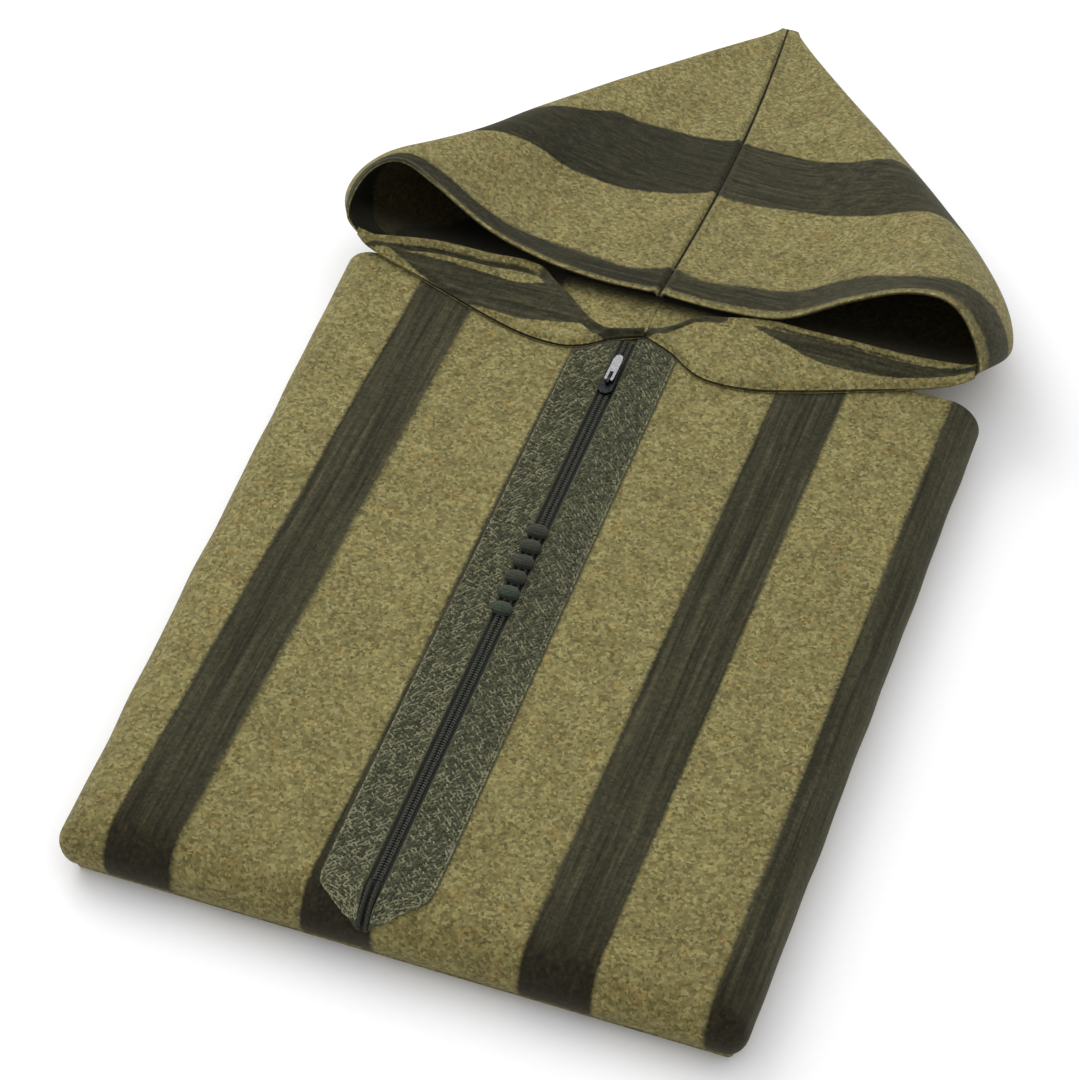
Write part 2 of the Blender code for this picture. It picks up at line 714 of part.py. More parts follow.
def fold_half_width(side, distance):
    """Half width from the hood's axis to one side fold."""
    return float(from_table(HOOD_PLAN, "y", "left" if side < 0 else "right", distance))


def hood_x(side, share, distance):
    """Side place on a hood half; the centre seam bows a little to the right."""
    t = float(np.clip((distance - HOOD_PLAN[0]["y"]) / (HOOD_TIP_Y - HOOD_PLAN[0]["y"]), 0, 1))
    bow = HOOD_AXIS_BOW * math.sin(math.pi * t) * (1 - share**2)
    reach = SEAM_HALF_GAP + share * (fold_half_width(side, distance) - SEAM_HALF_GAP)
    return float(hood_axis_x(distance)) + bow + side * reach


def support_height(distance):
    """Height that the hood's lower wall rests on: bundle, slope, then floor."""
    drop = smooth_step(DRAPE_START_Y, DRAPE_END_Y, distance)
    return (HEIGHT + GAP) * (1 - drop)


def hood_point(side, place, v):
    """Point on the hood's outer surface.

    Side is -1 left or 1 right. Place runs 0 to 1 from the centre seam out over
    the upper wall to the fold, and 1 to 2 back under it to the lower centre. V
    runs 0 at the mouth to 1 at the tip.
    """
    share = math.sin(math.pi / 2 * (place if place <= 1 else 2 - place))
    lip = LEFT_LIP if side < 0 else RIGHT_LIP
    fold_mouth = HOOD_PLAN[0]["y"]
    fold_y = fold_mouth + (HOOD_PLAN[-1]["y"] - fold_mouth) * v
    lip_y = float(from_table(lip, "share", "y", share))
    lip_z = float(from_table(lip, "share", "z", share))
    seam_y = float(from_table(NECK_SEAM, "share", "y", share))
    top_y = lip_y + (HOOD_TIP_Y - lip_y) * v
    low_y = seam_y + (HOOD_TIP_Y - seam_y) * v
    seam_z = lip[0]["z"] + (HOOD_TIP_Z - lip[0]["z"]) * v
    decay = (1 - v) ** 1.1
    top_z = seam_z + (lip_z - lip[0]["z"]) * decay
    low_z = float(support_height(low_y))
    fold_low_z = float(support_height(fold_y))
    fold_top_z = seam_z + (lip[-1]["z"] - lip[0]["z"]) * decay
    middle = FOLD_MIDDLE * fold_top_z + (1 - FOLD_MIDDLE) * fold_low_z
    bend = math.sqrt(max(1 - share**FOLD_SHARPNESS, 0.0))
    if place <= 1:
        pull = share**6
        z = middle + (top_z - middle) * bend
        y = top_y * (1 - pull) + fold_y * pull
    else:
        pull = share**12
        z = middle - (middle - low_z) * bend
        y = low_y * (1 - pull) + fold_y * pull
    return (hood_x(side, share, y), y + FRONT_EDGE_Y, z)


def hood_places():
    upper = list(np.linspace(0, 1, HOOD_UPPER_COLUMNS))
    lower = list(np.linspace(1, 2, HOOD_LOWER_COLUMNS))[1:]
    return upper + lower


def hood_grid(side):
    """Outer and inner points of one hood half, rows from mouth to tip."""
    steps = np.linspace(0, 1, HOOD_ROWS)
    steps = steps**1.15
    places = hood_places()
    outer = np.array([[hood_point(side, p, v) for p in places] for v in steps])
    normal = grid_normals(outer) * side
    normal[:, 0] = (0.0, 0.0, 1.0)
    normal[:, -1] = (0.0, 0.0, -1.0)
    inner = outer - HOOD_WALL * normal
    return outer, inner


def hood_half(name, side, materials):
    """Half of the hood as a wall that wraps round its side fold, closed at the tip."""
    outer, inner = hood_grid(side)
    inner = inner[:-1]
    builder = bmesh.new()
    out = add_grid(builder, outer)
    inn = add_grid(builder, inner)
    last = len(inn)
    add_rim(builder, out[0], inn[0])
    add_rim(builder, [row[0] for row in out[:last]], [row[0] for row in inn])
    add_rim(builder, [row[-1] for row in out[:last]], [row[-1] for row in inn])
    builder.faces.new(out[-1])
    builder.faces.new(list(reversed(inn[-1])))
    tip = (out[-2][0], out[-1][0], out[-1][-1], out[-2][-1], inn[-1][-1], inn[-1][0])
    builder.faces.new(tip)
    return add_object(name, builder, materials["wool_light"])


def neck_corner_grid(side, table):
    """Lower and upper points of a hood half's turned-down front corner."""
    shares = np.linspace(table[0]["share"], table[-1]["share"], CORNER_COLUMNS)
    half_width = HOOD_PLAN[0]["left" if side < 0 else "right"]
    lower = []
    upper = []
    for t in np.linspace(0, 1, CORNER_ROWS):
        low_row = []
        high_row = []
        for share in shares:
            start = float(from_table(NECK_SEAM, "share", "y", share)) + CORNER_START_SETBACK
            end = float(from_table(table, "share", "y", share))
            end = max(end, start + 0.0030)
            lift = float(from_table(table, "share", "lift", share))
            y = start + (end - start) * t
            x = float(hood_axis_x(y)) + side * share * half_width
            base = lower_wall_top(side, share, y) + GAP
            rise = lift * t**1.6
            low_row.append((x, y + FRONT_EDGE_Y, base + rise))
            high_row.append((x, y + FRONT_EDGE_Y, base + rise + HOOD_WALL * 0.9))
        lower.append(low_row)
        upper.append(high_row)
    return np.array(lower), np.array(upper)


def lower_wall_top(side, share, distance):
    """Height of the inside of the hood's lower wall, near the mouth."""
    lip = LEFT_LIP if side < 0 else RIGHT_LIP
    fold_z = FOLD_MIDDLE * lip[-1]["z"]
    fold_z += (1 - FOLD_MIDDLE) * float(support_height(HOOD_PLAN[0]["y"]))
    bend = math.sqrt(max(1 - share**FOLD_SHARPNESS, 0.0))
    low = float(support_height(min(distance, DRAPE_START_Y)))
    return fold_z - (fold_z - low) * bend + HOOD_WALL + 0.0002


def neck_corner(name, side, table, materials):
    lower, upper = neck_corner_grid(side, table)
    builder = wall_mesh(upper, lower)
    return add_object(name, builder, materials["wool_light"])


def main():
    clear_scene()
    materials = make_materials()
    folded_layers(materials)
    front_panel(materials)
    placket_band("placket_band_left", -1, BAND_LEFT_OUTER, LEFT_CORNER_ARC, materials)
    placket_band("placket_band_right", 1, BAND_RIGHT_OUTER, RIGHT_CORNER_ARC, materials)
    zip_half("zip_left", -1, materials)
    zip_half("zip_right", 1, materials)
    placket_cord("placket_cord_left", -1, materials)
    placket_cord("placket_cord_right", 1, materials)
    slider(materials)
    pull_tab(materials)
    for number in range(1, KNOT_COUNT + 1):
        knot_button(number, materials)
    hood_half("hood_left", -1, materials)
    hood_half("hood_right", 1, materials)
    neck_corner("neck_corner_left", -1, LEFT_FREE_EDGE, materials)
    neck_corner("neck_corner_right", 1, RIGHT_FREE_EDGE, materials)


main()
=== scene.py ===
"""Folded hooded robe of striped wool, lying front up on a pale floor.

The cloth pieces are thin shells on the forms of the frame's solids. The placket's
braid, the zip's coils and the knots are built from thread. Metres, +Z up, +Y from
the front fold to the hood's tip.
"""
import math

import bpy
import numpy as np
from mathutils import Matrix, Vector


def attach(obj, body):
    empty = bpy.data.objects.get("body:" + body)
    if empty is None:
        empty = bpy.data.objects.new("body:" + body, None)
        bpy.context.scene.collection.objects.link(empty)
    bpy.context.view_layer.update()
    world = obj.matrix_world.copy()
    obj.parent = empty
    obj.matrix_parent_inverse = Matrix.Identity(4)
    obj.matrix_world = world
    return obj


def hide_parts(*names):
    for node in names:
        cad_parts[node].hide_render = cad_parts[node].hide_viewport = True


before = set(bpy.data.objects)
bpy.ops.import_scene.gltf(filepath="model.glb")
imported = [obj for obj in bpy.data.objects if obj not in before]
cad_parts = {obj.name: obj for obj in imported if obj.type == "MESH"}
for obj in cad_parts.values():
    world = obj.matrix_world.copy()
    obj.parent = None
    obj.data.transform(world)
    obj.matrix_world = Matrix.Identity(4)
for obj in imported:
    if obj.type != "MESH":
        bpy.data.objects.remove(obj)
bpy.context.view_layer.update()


def table(columns, *rows):
    """Rows of values under the names in columns."""
    return [dict(zip(columns.split(), row)) for row in rows]


# Folded bundle
LENGTH = 0.500
HEIGHT = 0.0436
FOLD_RADIUS = HEIGHT / 2
CLOTH = 0.0022
GAP = 0.0003
FRONT_EDGE_Y = -LENGTH / 2
BACK_EDGE_Y = LENGTH / 2
BACK_LEFT_REACH = 0.0065
# Back left, front left, front right, back right
BUNDLE_CORNERS = table(
    "x y radius",
    (-0.2283, BACK_EDGE_Y + BACK_LEFT_REACH, 0.0028),
    (-0.200, FRONT_EDGE_Y, 0.010),
    (0.202, FRONT_EDGE_Y, 0.012),
    (0.198, BACK_EDGE_Y, 0.0028),
)
CORNER_POINTS = 7
FINE_CORNER = 0.0045
PANEL_SETBACK = 0.0045
PANEL_BACK_Y = BACK_EDGE_Y - PANEL_SETBACK
PANEL_END_ANGLE = math.radians(-50)
LAYER_COUNT = 5
LAYER_BULGE = 0.0030
LAYER_SETBACK = 0.0008
LAYER_SETBACK_MOST = 0.0066
BOTTOM_LAYER_HEIGHT = 0.0046
BOTTOM_LAYER_SETBACK = 0.0085

# Zip line
ZIP_FRONT_X = -0.0165
ZIP_LEAN = -0.0214
ZIP_START = 0.025
ZIP_END = 0.478
SLIT_HALF = 0.0047
TAPE_HALF = 0.0044
TAPE_LIFT = 0.0002
TAPE_THICKNESS = 0.0010
TAPE_CLOTH = 0.0007
COIL_RADIUS = 0.0015
COIL_SIDE = 0.0016
COIL_RISE = 1.5 * COIL_RADIUS
COIL_PITCH = 0.0019
COIL_WIRE = 0.00052
COIL_SIDES = 4
COIL_STEPS = 10
TAPE_EDGE_RISE = 0.0006

# Braid bands
BAND_INNER = 0.0051
BAND_LEFT_OUTER = 0.0312
BAND_RIGHT_OUTER = 0.0336
BAND_THICKNESS = 0.0012
BAND_GROUND = 0.0008
BAND_TOP_CLEAR = 0.0006
LEFT_CORNER_ARC = -0.0066
RIGHT_CORNER_ARC = -0.0015
TIP_ARC = -0.0255
POINT_BLUNT = 0.0024
BAND_LENGTH = 0.48
BAND_POINT = 0.06
BAND_COLUMNS = 15
STITCH_RADIUS = 0.00050
STITCH_LANES = 12
STITCH_PITCH = 0.0016
STITCH_LENGTH = 0.0031
STITCH_TURNS = (0.55, 1.00)
THREAD_SIDES = 4

# Cords and knots
CORD_RADIUS = 0.0012
CORD_OFFSET = 0.0022
CORD_TWIST = 0.0042
CORD_SIDES = 7
YARN_RADIUS = 0.62 * CORD_RADIUS
KNOT_COUNT = 6
KNOT_FIRST_Y = 0.2995
KNOT_PITCH = 0.0131
KNOT_SIDE = -0.0002
KNOT_WIDTH = 0.0075
KNOT_LENGTH = 0.0047
KNOT_RISE = 0.0046
KNOT_STRAND = 0.0015
KNOT_STRANDS = 6
KNOT_STRAND_SIDES = 10
KNOT_CORE_SIDES = 24
KNOT_CORE_RINGS = 12
FIRST_GREEN_KNOT = 5

# Hood
HOOD_AXIS_MOUTH_X = -0.0165
HOOD_AXIS_TIP_X = -0.0350
HOOD_AXIS_BOW = 0.0065
HOOD_AXIS_START = 0.46
# Half widths of the laid hood, by distance from the front fold
HOOD_PLAN = table(
    "y left right",
    (0.508, 0.21, 0.21), (0.528, 0.2185, 0.219), (0.55, 0.2185, 0.2225), (0.58, 0.199, 0.218),
    (0.62, 0.17, 0.197), (0.665, 0.1445, 0.164), (0.725, 0.1037, 0.115), (0.79, 0.054, 0.058),
    (0.838, 0.0155, 0.0185), (0.851, 0.0065, 0.009),
)
# Upper rim of the mouth: distance from the front fold and height, by share of the half width
LEFT_LIP = table(
    "share y z",
    (0.0, 0.514, 0.0565), (0.2, 0.513, 0.057), (0.38, 0.515, 0.0615), (0.56, 0.519, 0.074),
    (0.72, 0.532, 0.091), (0.86, 0.55, 0.101), (1.0, 0.54, 0.1),
)
RIGHT_LIP = table(
    "share y z",
    (0.0, 0.514, 0.0565), (0.2, 0.513, 0.056), (0.38, 0.515, 0.06), (0.56, 0.519, 0.083),
    (0.72, 0.526, 0.0985), (0.86, 0.534, 0.101), (1.0, 0.527, 0.096),
)
# The neck seam, as a distance from the front fold
NECK_SEAM = table(
    "share y",
    (0.0, 0.4835), (0.1, 0.4735), (0.16, 0.464), (0.21, 0.4592), (0.27, 0.458), (0.36, 0.46),
    (0.5, 0.469), (0.66, 0.4815), (0.82, 0.493), (0.92, 0.499), (1.0, 0.506),
)
HOOD_TIP_Y = 0.852
HOOD_TIP_Z = 0.0130
HOOD_WALL = 0.0020
FOLD_SHARPNESS = 9.0
FOLD_MIDDLE = 0.36
DRAPE_START_Y = 0.505
DRAPE_END_Y = 0.594
SEAM_HALF_GAP = 0.00015
# Free edge of each turned-down corner, and how far it lifts
LEFT_FREE_EDGE = table(
    "share y lift",
    (0.004, 0.4872, 0.0006), (0.05, 0.4828, 0.0008), (0.105, 0.4795, 0.001), (0.146, 0.4812, 0.0014),
    (0.2, 0.4875, 0.0024), (0.26, 0.4978, 0.0042), (0.32, 0.506, 0.0056), (0.365, 0.5138, 0.0064),
    (0.41, 0.5162, 0.0066), (0.53, 0.5151, 0.0066), (0.735, 0.5147, 0.0056), (0.86, 0.5095, 0.0034),
    (0.922, 0.5056, 0.0018), (0.958, 0.5048, 0.001),
)
RIGHT_FREE_EDGE = table(
    "share y lift",
    (0.004, 0.4872, 0.0008), (0.07, 0.4935, 0.0026), (0.133, 0.505, 0.0042), (0.214, 0.5098, 0.005),
    (0.358, 0.5158, 0.006), (0.48, 0.514, 0.0072), (0.593, 0.5134, 0.0078), (0.753, 0.5139, 0.006),
    (0.93, 0.5141, 0.0034), (0.985, 0.5126, 0.002),
)
CORNER_START_SETBACK = 0.00032

# Dark stripes of the front cloth, across the garment
BODY_STRIPES = table(
    "start end",
    (-0.1701, -0.1291), (-0.0529, -0.01), (0.0732, 0.1163), (0.1786, 0.2216),
)
# Dark stripes of the hood, as distances from the mouth's hem on the cloth before it is laid.
# The two tables say where these three edges lie, by share of the half width.
FACE_STRIPE_END = 0.024
HOOD_STRIPE_START = 0.105
HOOD_STRIPE_END = 0.185
LEFT_HOOD_STRIPES = table(
    "share face start end",
    (0.0, 0.03, 0.1235, 0.19), (0.12, 0.0214, 0.115, 0.186), (0.21, 0.0236, 0.11, 0.186),
    (0.37, 0.0236, 0.102, 0.185), (0.46, 0.0195, 0.101, 0.183), (0.56, 0.019, 0.1, 0.181),
    (0.66, 0.018, 0.097, 0.176), (0.76, 0.016, 0.089, 0.155), (0.82, 0.013, 0.081, 0.145),
    (1.0, 0.006, 0.07, 0.13),
)
RIGHT_HOOD_STRIPES = table(
    "share face start end",
    (0.0, 0.03, 0.119, 0.186), (0.1, 0.0256, 0.12, 0.188), (0.18, 0.0278, 0.122, 0.19),
    (0.35, 0.0343, 0.125, 0.189), (0.46, 0.04, 0.12, 0.188), (0.54, 0.04, 0.117, 0.186),
    (0.68, 0.0285, 0.118, 0.19), (0.79, 0.028, 0.121, 0.195), (0.87, 0.033, 0.123, 0.197),
    (0.95, 0.0405, 0.125, 0.2), (1.0, 0.04, 0.126, 0.202),
)
# Turned-down corners: where the dark stripe begins and ends, as distances from the front fold
LEFT_CORNER_STRIPE = table(
    "share start end",
    (0.18, 0.48, 0.479), (0.25, 0.4755, 0.4905), (0.3, 0.4735, 0.498), (0.34, 0.4715, 0.5025),
    (0.375, 0.4702, 0.5005), (0.427, 0.4694, 0.4985), (0.506, 0.4718, 0.4998), (0.598, 0.4756, 0.5014),
    (0.66, 0.4815, 0.5025), (0.765, 0.4918, 0.5026), (0.878, 0.5046, 0.5048), (0.96, 0.513, 0.507),
)
RIGHT_CORNER_STRIPE = table(
    "share start end",
    (0.01, 0.53, 0.49), (0.3, 0.5092, 0.5096), (0.398, 0.502, 0.51), (0.526, 0.4936, 0.5092),
    (0.645, 0.4943, 0.509), (0.807, 0.4993, 0.5094), (0.936, 0.5052, 0.5112), (1.0, 0.5085, 0.5115),
)
# Dark band along a corner's free edge: its width, and the share of the half width where it ends
LEFT_EDGE_BAND = {"width": 0.0085, "share": 0.375}
RIGHT_EDGE_BAND = {"width": 0.0048, "share": 0.225}
# Left hood half from inside: the face stripe's end, as a distance from the front fold
LEFT_INSIDE_EDGE = table(
    "share y",
    (0.84, 0.515), (0.89, 0.5218), (0.95, 0.548), (1.0, 0.5617),
)

# Soft creases of the front: two ends, half width and depth (negative is a ridge)
FRONT_CREASES = table(
    "x0 y0 x1 y1 width depth",
    (-0.168, -0.205, -0.06, -0.19, 0.01, 0.0008), (-0.15, 0.12, -0.075, 0.205, 0.013, 0.001),
    (-0.172, 0.02, -0.12, 0.06, 0.012, 0.0006), (0.04, 0.185, 0.12, 0.14, 0.012, 0.001),
    (0.06, -0.12, 0.158, -0.165, 0.014, 0.0008), (0.07, 0.02, 0.15, 0.05, 0.011, -0.0006),
    (-0.14, -0.09, -0.085, -0.06, 0.012, -0.0006),
)
# Soft creases of the hood, by side: x is the share of the half width, y the way to the tip
HOOD_CREASES = {
    -1: table(
        "x0 y0 x1 y1 width depth",
        (0.3, 0.05, 0.62, 0.3, 0.06, 0.0027), (0.55, 0.35, 0.8, 0.55, 0.05, 0.002),
        (0.18, 0.45, 0.45, 0.75, 0.05, 0.0014),
    ),
    1: table(
        "x0 y0 x1 y1 width depth",
        (0.22, 0.08, 0.5, 0.22, 0.05, 0.0024), (0.5, 0.3, 0.82, 0.42, 0.055, 0.002),
        (0.25, 0.55, 0.6, 0.7, 0.05, -0.0014),
    ),
}

# Creases of the turned-down corners, along their free edge: how far back from it, and where; dark is the half
# width of the painted shadow along a crease, laid as dark stripe cloth
NECK_CREASES = {
    -1: table(
        "from to back width depth dark",
        (0.37, 0.92, 0.0064, 0.0026, 0.0026, 0.0021), (0.5, 0.8, 0.0112, 0.0024, -0.0009, 0.0),
        (0.3, 0.36, 0.026, 0.007, 0.0016, 0.0), (0.55, 0.86, 0.015, 0.003, 0.0009, 0.0),
    ),
    1: table(
        "from to back width depth dark",
        (0.35, 0.8, 0.0036, 0.0016, 0.001, 0.0007), (0.45, 0.85, 0.017, 0.0035, 0.0009, 0.0),
    ),
}


def mix(start, end, share):
    return start + (end - start) * share


def smooth_step(low, high, value):
    t = np.clip((np.asarray(value, float) - low) / (high - low), 0.0, 1.0)
    return t * t * (3 - 2 * t)


def read(rows, column, value):
    """Smooth reading of one column of a table, against its first column."""
    keys = np.array([next(iter(row.values())) for row in rows], float)
    values = np.array([row[column] for row in rows], float)
    slopes = np.gradient(values, keys)
    value = np.clip(np.asarray(value, float), keys[0], keys[-1])
    index = np.clip(np.searchsorted(keys, value, side="right") - 1, 0, len(keys) - 2)
    span = keys[index + 1] - keys[index]
    t = (value - keys[index]) / span
    return (
        (2 * t**3 - 3 * t**2 + 1) * values[index]
        + (t**3 - 2 * t**2 + t) * span * slopes[index]
        + (3 * t**2 - 2 * t**3) * values[index + 1]
        + (t**3 - t**2) * span * slopes[index + 1]
    )


def soft_waves(x, y, size, seed):
    """Gentle uneven waves from a few crossing sines, between about -1 and 1."""
    random = np.random.default_rng(seed)
    total = np.zeros(np.broadcast(x, y).shape)
    for i in range(6):
        turn = random.uniform(0, math.pi)
        wave = math.tau / (size * random.uniform(0.6, 1.7))
        shift = random.uniform(0, math.tau)
        total += np.sin(wave * (x * math.cos(turn) + y * math.sin(turn)) + shift)
    return total / 3.0


def crease_depth(x, y, x0, y0, x1, y1, width, depth):
    """Depth of one soft crease, deepest at its middle and gone at its ends."""
    dx = x1 - x0
    dy = y1 - y0
    t = ((x - x0) * dx + (y - y0) * dy) / (dx * dx + dy * dy)
    near = np.clip(t, 0, 1)
    away = np.hypot(x - x0 - near * dx, y - y0 - near * dy)
    return depth * np.exp(-((away / width) ** 2)) * np.sin(math.pi * np.clip(t, 0.02, 0.98)) ** 0.7


def zip_x(distance):
    return ZIP_FRONT_X + ZIP_LEAN * (np.asarray(distance, float) - ZIP_START)


def neck_seam_y(x):
    share = np.abs(x - HOOD_AXIS_MOUTH_X) / HOOD_PLAN[0]["left"]
    return read(NECK_SEAM, "y", share)


def over_front(arc, side, lift):
    """Points on the front cloth moved out by lift; arc below 0 runs down over the fold."""
    arc, side, lift = np.broadcast_arrays(np.asarray(arc, float), side, lift)
    radius = FOLD_RADIUS + lift
    angle = np.clip(-arc / FOLD_RADIUS, 0, None)
    distance = np.where(arc >= 0, FOLD_RADIUS + arc, FOLD_RADIUS - radius * np.sin(angle))
    z = np.where(arc >= 0, HEIGHT + lift, HEIGHT - FOLD_RADIUS + radius * np.cos(angle))
    return np.stack([zip_x(distance) + side, distance + FRONT_EDGE_Y, z], -1)


# Mesh building

SHARP_ANGLE = math.radians(50.0)


def grid_faces(rows, columns, wrap=False):
    i = np.arange(rows - 1)[:, None]
    j = np.arange(columns if wrap else columns - 1)[None, :]
    k = (j + 1) % columns
    corners = (i * columns + j, i * columns + k, (i + 1) * columns + k, (i + 1) * columns + j)
    return np.stack(corners, -1).reshape(-1, 4)


def vertex_normals(points, faces):
    across = np.cross(points[faces[:, 2]] - points[faces[:, 0]], points[faces[:, 3]] - points[faces[:, 1]])
    total = np.zeros_like(points)
    for k in range(4):
        np.add.at(total, faces[:, k], across)
    return total / np.maximum(np.linalg.norm(total, axis=1, keepdims=True), 1e-12)


def shell(points, faces, thickness, uv, inner_uv=None):
    """Closed cloth: the outer surface, an inner one below it and the rim between."""
    count = len(points)
    inner = points - thickness * vertex_normals(points, faces)
    edges = np.concatenate([faces[:, [k, (k + 1) % 4]] for k in range(4)])
    edges = edges[edges[:, 0] != edges[:, 1]]
    forward = edges[:, 0].astype(np.int64) * count + edges[:, 1]
    backward = edges[:, 1].astype(np.int64) * count + edges[:, 0]
    rim = edges[~np.isin(forward, backward)]
    rim_faces = np.stack([rim[:, 1], rim[:, 0], rim[:, 0] + count, rim[:, 1] + count], 1)
    all_faces = np.concatenate([faces, faces[:, ::-1] + count, rim_faces])
    under_uv = uv if inner_uv is None else inner_uv
    return np.concatenate([points, inner]), all_faces, np.concatenate([uv, under_uv]).reshape(-1, 2)


def join_parts(parts):
    """Several sets of points, faces and UVs as one."""
    points, faces, uvs = zip(*parts)
    starts = np.cumsum([0] + [len(some) for some in points[:-1]])
    faces = [some + start for some, start in zip(faces, starts)]
    return np.concatenate(points), np.concatenate(faces), np.concatenate(uvs)


def add_object(name, data):
    item = bpy.data.objects.new(name, data)
    bpy.context.scene.collection.objects.link(item)
    return item


def new_piece(name, points, faces, uv, material, slot, replaced=(), body="garment"):
    polygons = []
    for face in faces.tolist():
        kept = [v for k, v in enumerate(face) if v != face[k - 1]]
        if len(kept) > 2:
            polygons.append(kept)
    mesh = bpy.data.meshes.new(name)
    mesh.from_pydata(points.tolist(), [], polygons)
    mesh.update()
    index = np.empty(len(mesh.loops), np.int32)
    mesh.loops.foreach_get("vertex_index", index)
    layer = mesh.uv_layers.new(name="cloth")
    layer.data.foreach_set("uv", uv[index].astype(np.float32).ravel())
    mesh.shade_smooth()
    mesh.set_sharp_from_angle(angle=SHARP_ANGLE)
    mesh.materials.append(material)
    item = add_object(name, mesh)
    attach(item, body)
    if replaced:
        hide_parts(*replaced)
    return item


def cloth(name, side, grid, thickness, uv, material, slot, inner_uv=None):
    """Shell on a grid of points, as the piece that stands for the node of that name."""
    faces = grid_faces(*grid.shape[:2])
    if side < 0:
        faces = faces[:, ::-1]
    closed = shell(grid.reshape(-1, 3), faces, thickness, uv, inner_uv)
    return new_piece(f"robe_{name}", *closed, material, slot, (name,))


def tube_faces(rings, sides):
    """Faces round a stack of rings, with both ends closed."""
    faces = [grid_faces(rings, sides, wrap=True)]
    last = (rings - 1) * sides
    for k in range(1, sides - 1):
        faces.append(np.array([[0, k + 1, k, k], [last, last + k, last + k + 1, last + k + 1]]))
    return np.concatenate(faces)


def tube(path, radius, sides, up=(0.0, 0.0, 1.0)):
    """Closed tube along a path of points, or many tubes along as many paths."""
    path = np.asarray(path, float)
    if path.ndim == 2:
        path = path[None]
    count, steps = path.shape[:2]
    radius = np.broadcast_to(radius, (count, steps))
    along = np.gradient(path, axis=1)
    along /= np.maximum(np.linalg.norm(along, axis=2, keepdims=True), 1e-12)
    across = np.cross(along, np.asarray(up, float))
    length = np.linalg.norm(across, axis=2, keepdims=True)
    across = np.where(length > 1e-6, across / np.maximum(length, 1e-12), (1.0, 0.0, 0.0))
    over = np.cross(across, along)
    turn = math.tau * np.arange(sides) / sides
    ring = np.cos(turn)[:, None] * across[:, :, None] + np.sin(turn)[:, None] * over[:, :, None]
    points = (path[:, :, None] + radius[:, :, None, None] * ring).reshape(-1, 3)
    starts = steps * sides * np.arange(count)
    faces = (tube_faces(steps, sides)[None] + starts[:, None, None]).reshape(-1, 4)
    run = np.cumsum(np.linalg.norm(np.diff(path, axis=1, prepend=path[:, :1]), axis=2), axis=1)
    uv = np.stack([np.repeat(run.ravel(), sides), np.tile(turn / math.tau, count * steps)], -1)
    return points, faces, uv


# Materials


def set_values(node, values):
    for key, value in values.items():
        node.inputs[key].default_value = value


def add_node(tree, kind, values=None, links=None, **settings):
    made = tree.nodes.new(kind)
    for key, value in settings.items():
        setattr(made, key, value)
    set_values(made, values or {})
    for key, source in (links or {}).items():
        tree.links.new(source, made.inputs[key])
    return made


def ramp(tree, factor, stops):
    """Colour read along a factor; stops are (place, colour) pairs in order."""
    made = add_node(tree, "ShaderNodeValToRGB", links={"Fac": factor})
    elements = made.color_ramp.elements
    while len(elements) > 1:
        elements.remove(elements[-1])
    elements[0].position = stops[0][0]
    elements[0].color = (*stops[0][1], 1.0)
    for place, colour in stops[1:]:
        elements.new(place).color = (*colour, 1.0)
    return made.outputs["Color"]


def grey(value):
    return (value, value, value)


def new_material(name, values):
    """A material, its tree, its shader and the place on the object."""
    material = bpy.data.materials.new(name)
    material.use_nodes = True
    tree = material.node_tree
    shader = tree.nodes["Principled BSDF"]
    set_values(shader, values)
    return material, tree, shader, add_node(tree, "ShaderNodeTexCoord").outputs["Object"]


def noise(tree, vector, scale, detail, rough=0.55, output="Fac"):
    values = {"Scale": scale, "Detail": detail, "Roughness": rough}
    return add_node(tree, "ShaderNodeTexNoise", values, {"Vector": vector}).outputs[output]


def maths(tree, operation, values=None, links=None):
    return add_node(tree, "ShaderNodeMath", values, links, operation=operation).outputs[0]


def axis(tree, vector, name):
    return add_node(tree, "ShaderNodeSeparateXYZ", links={"Vector": vector}).outputs[name]


def cloth_uv(tree):
    return add_node(tree, "ShaderNodeUVMap", uv_map="cloth").outputs["UV"]


def spread(tree, value, low, high, to_low=0.0, to_high=1.0):
    """A value carried from one range to another."""
    ends = {"From Min": low, "From Max": high, "To Min": to_low, "To Max": to_high}
    return add_node(tree, "ShaderNodeMapRange", ends, {"Value": value}).outputs["Result"]


def mixed(tree, a, b, factor):
    links = {0: factor, 6: a, 7: b}
    return add_node(tree, "ShaderNodeMix", links=links, data_type="RGBA").outputs[2]


def multiplied(tree, a, b):
    links = {6: a, 7: b}
    made = add_node(tree, "ShaderNodeMix", {0: 1.0}, links, data_type="RGBA", blend_type="MULTIPLY")
    return made.outputs[2]


def add_bump(tree, shader, height, strength, distance):
    values = {"Strength": strength, "Distance": distance}
    made = add_node(tree, "ShaderNodeBump", values, {"Height": height})
    tree.links.new(made.outputs["Normal"], shader.inputs["Normal"])


LIGHT_TONES = (
    (0.00, (0.036, 0.031, 0.011)),
    (0.16, (0.080, 0.069, 0.025)),
    (0.34, (0.148, 0.129, 0.048)),
    (0.58, (0.208, 0.182, 0.070)),
    (0.80, (0.300, 0.265, 0.110)),
    (0.92, (0.410, 0.362, 0.165)),
    (1.00, (0.200, 0.118, 0.052)),
)
DARK_TONES = (
    (0.34, (0.0150, 0.0140, 0.0062)),
    (0.48, (0.0320, 0.0300, 0.0145)),
    (0.60, (0.0480, 0.0440, 0.0220)),
    (0.74, (0.0800, 0.0690, 0.0385)),
)
WHITE = grey(1.0)
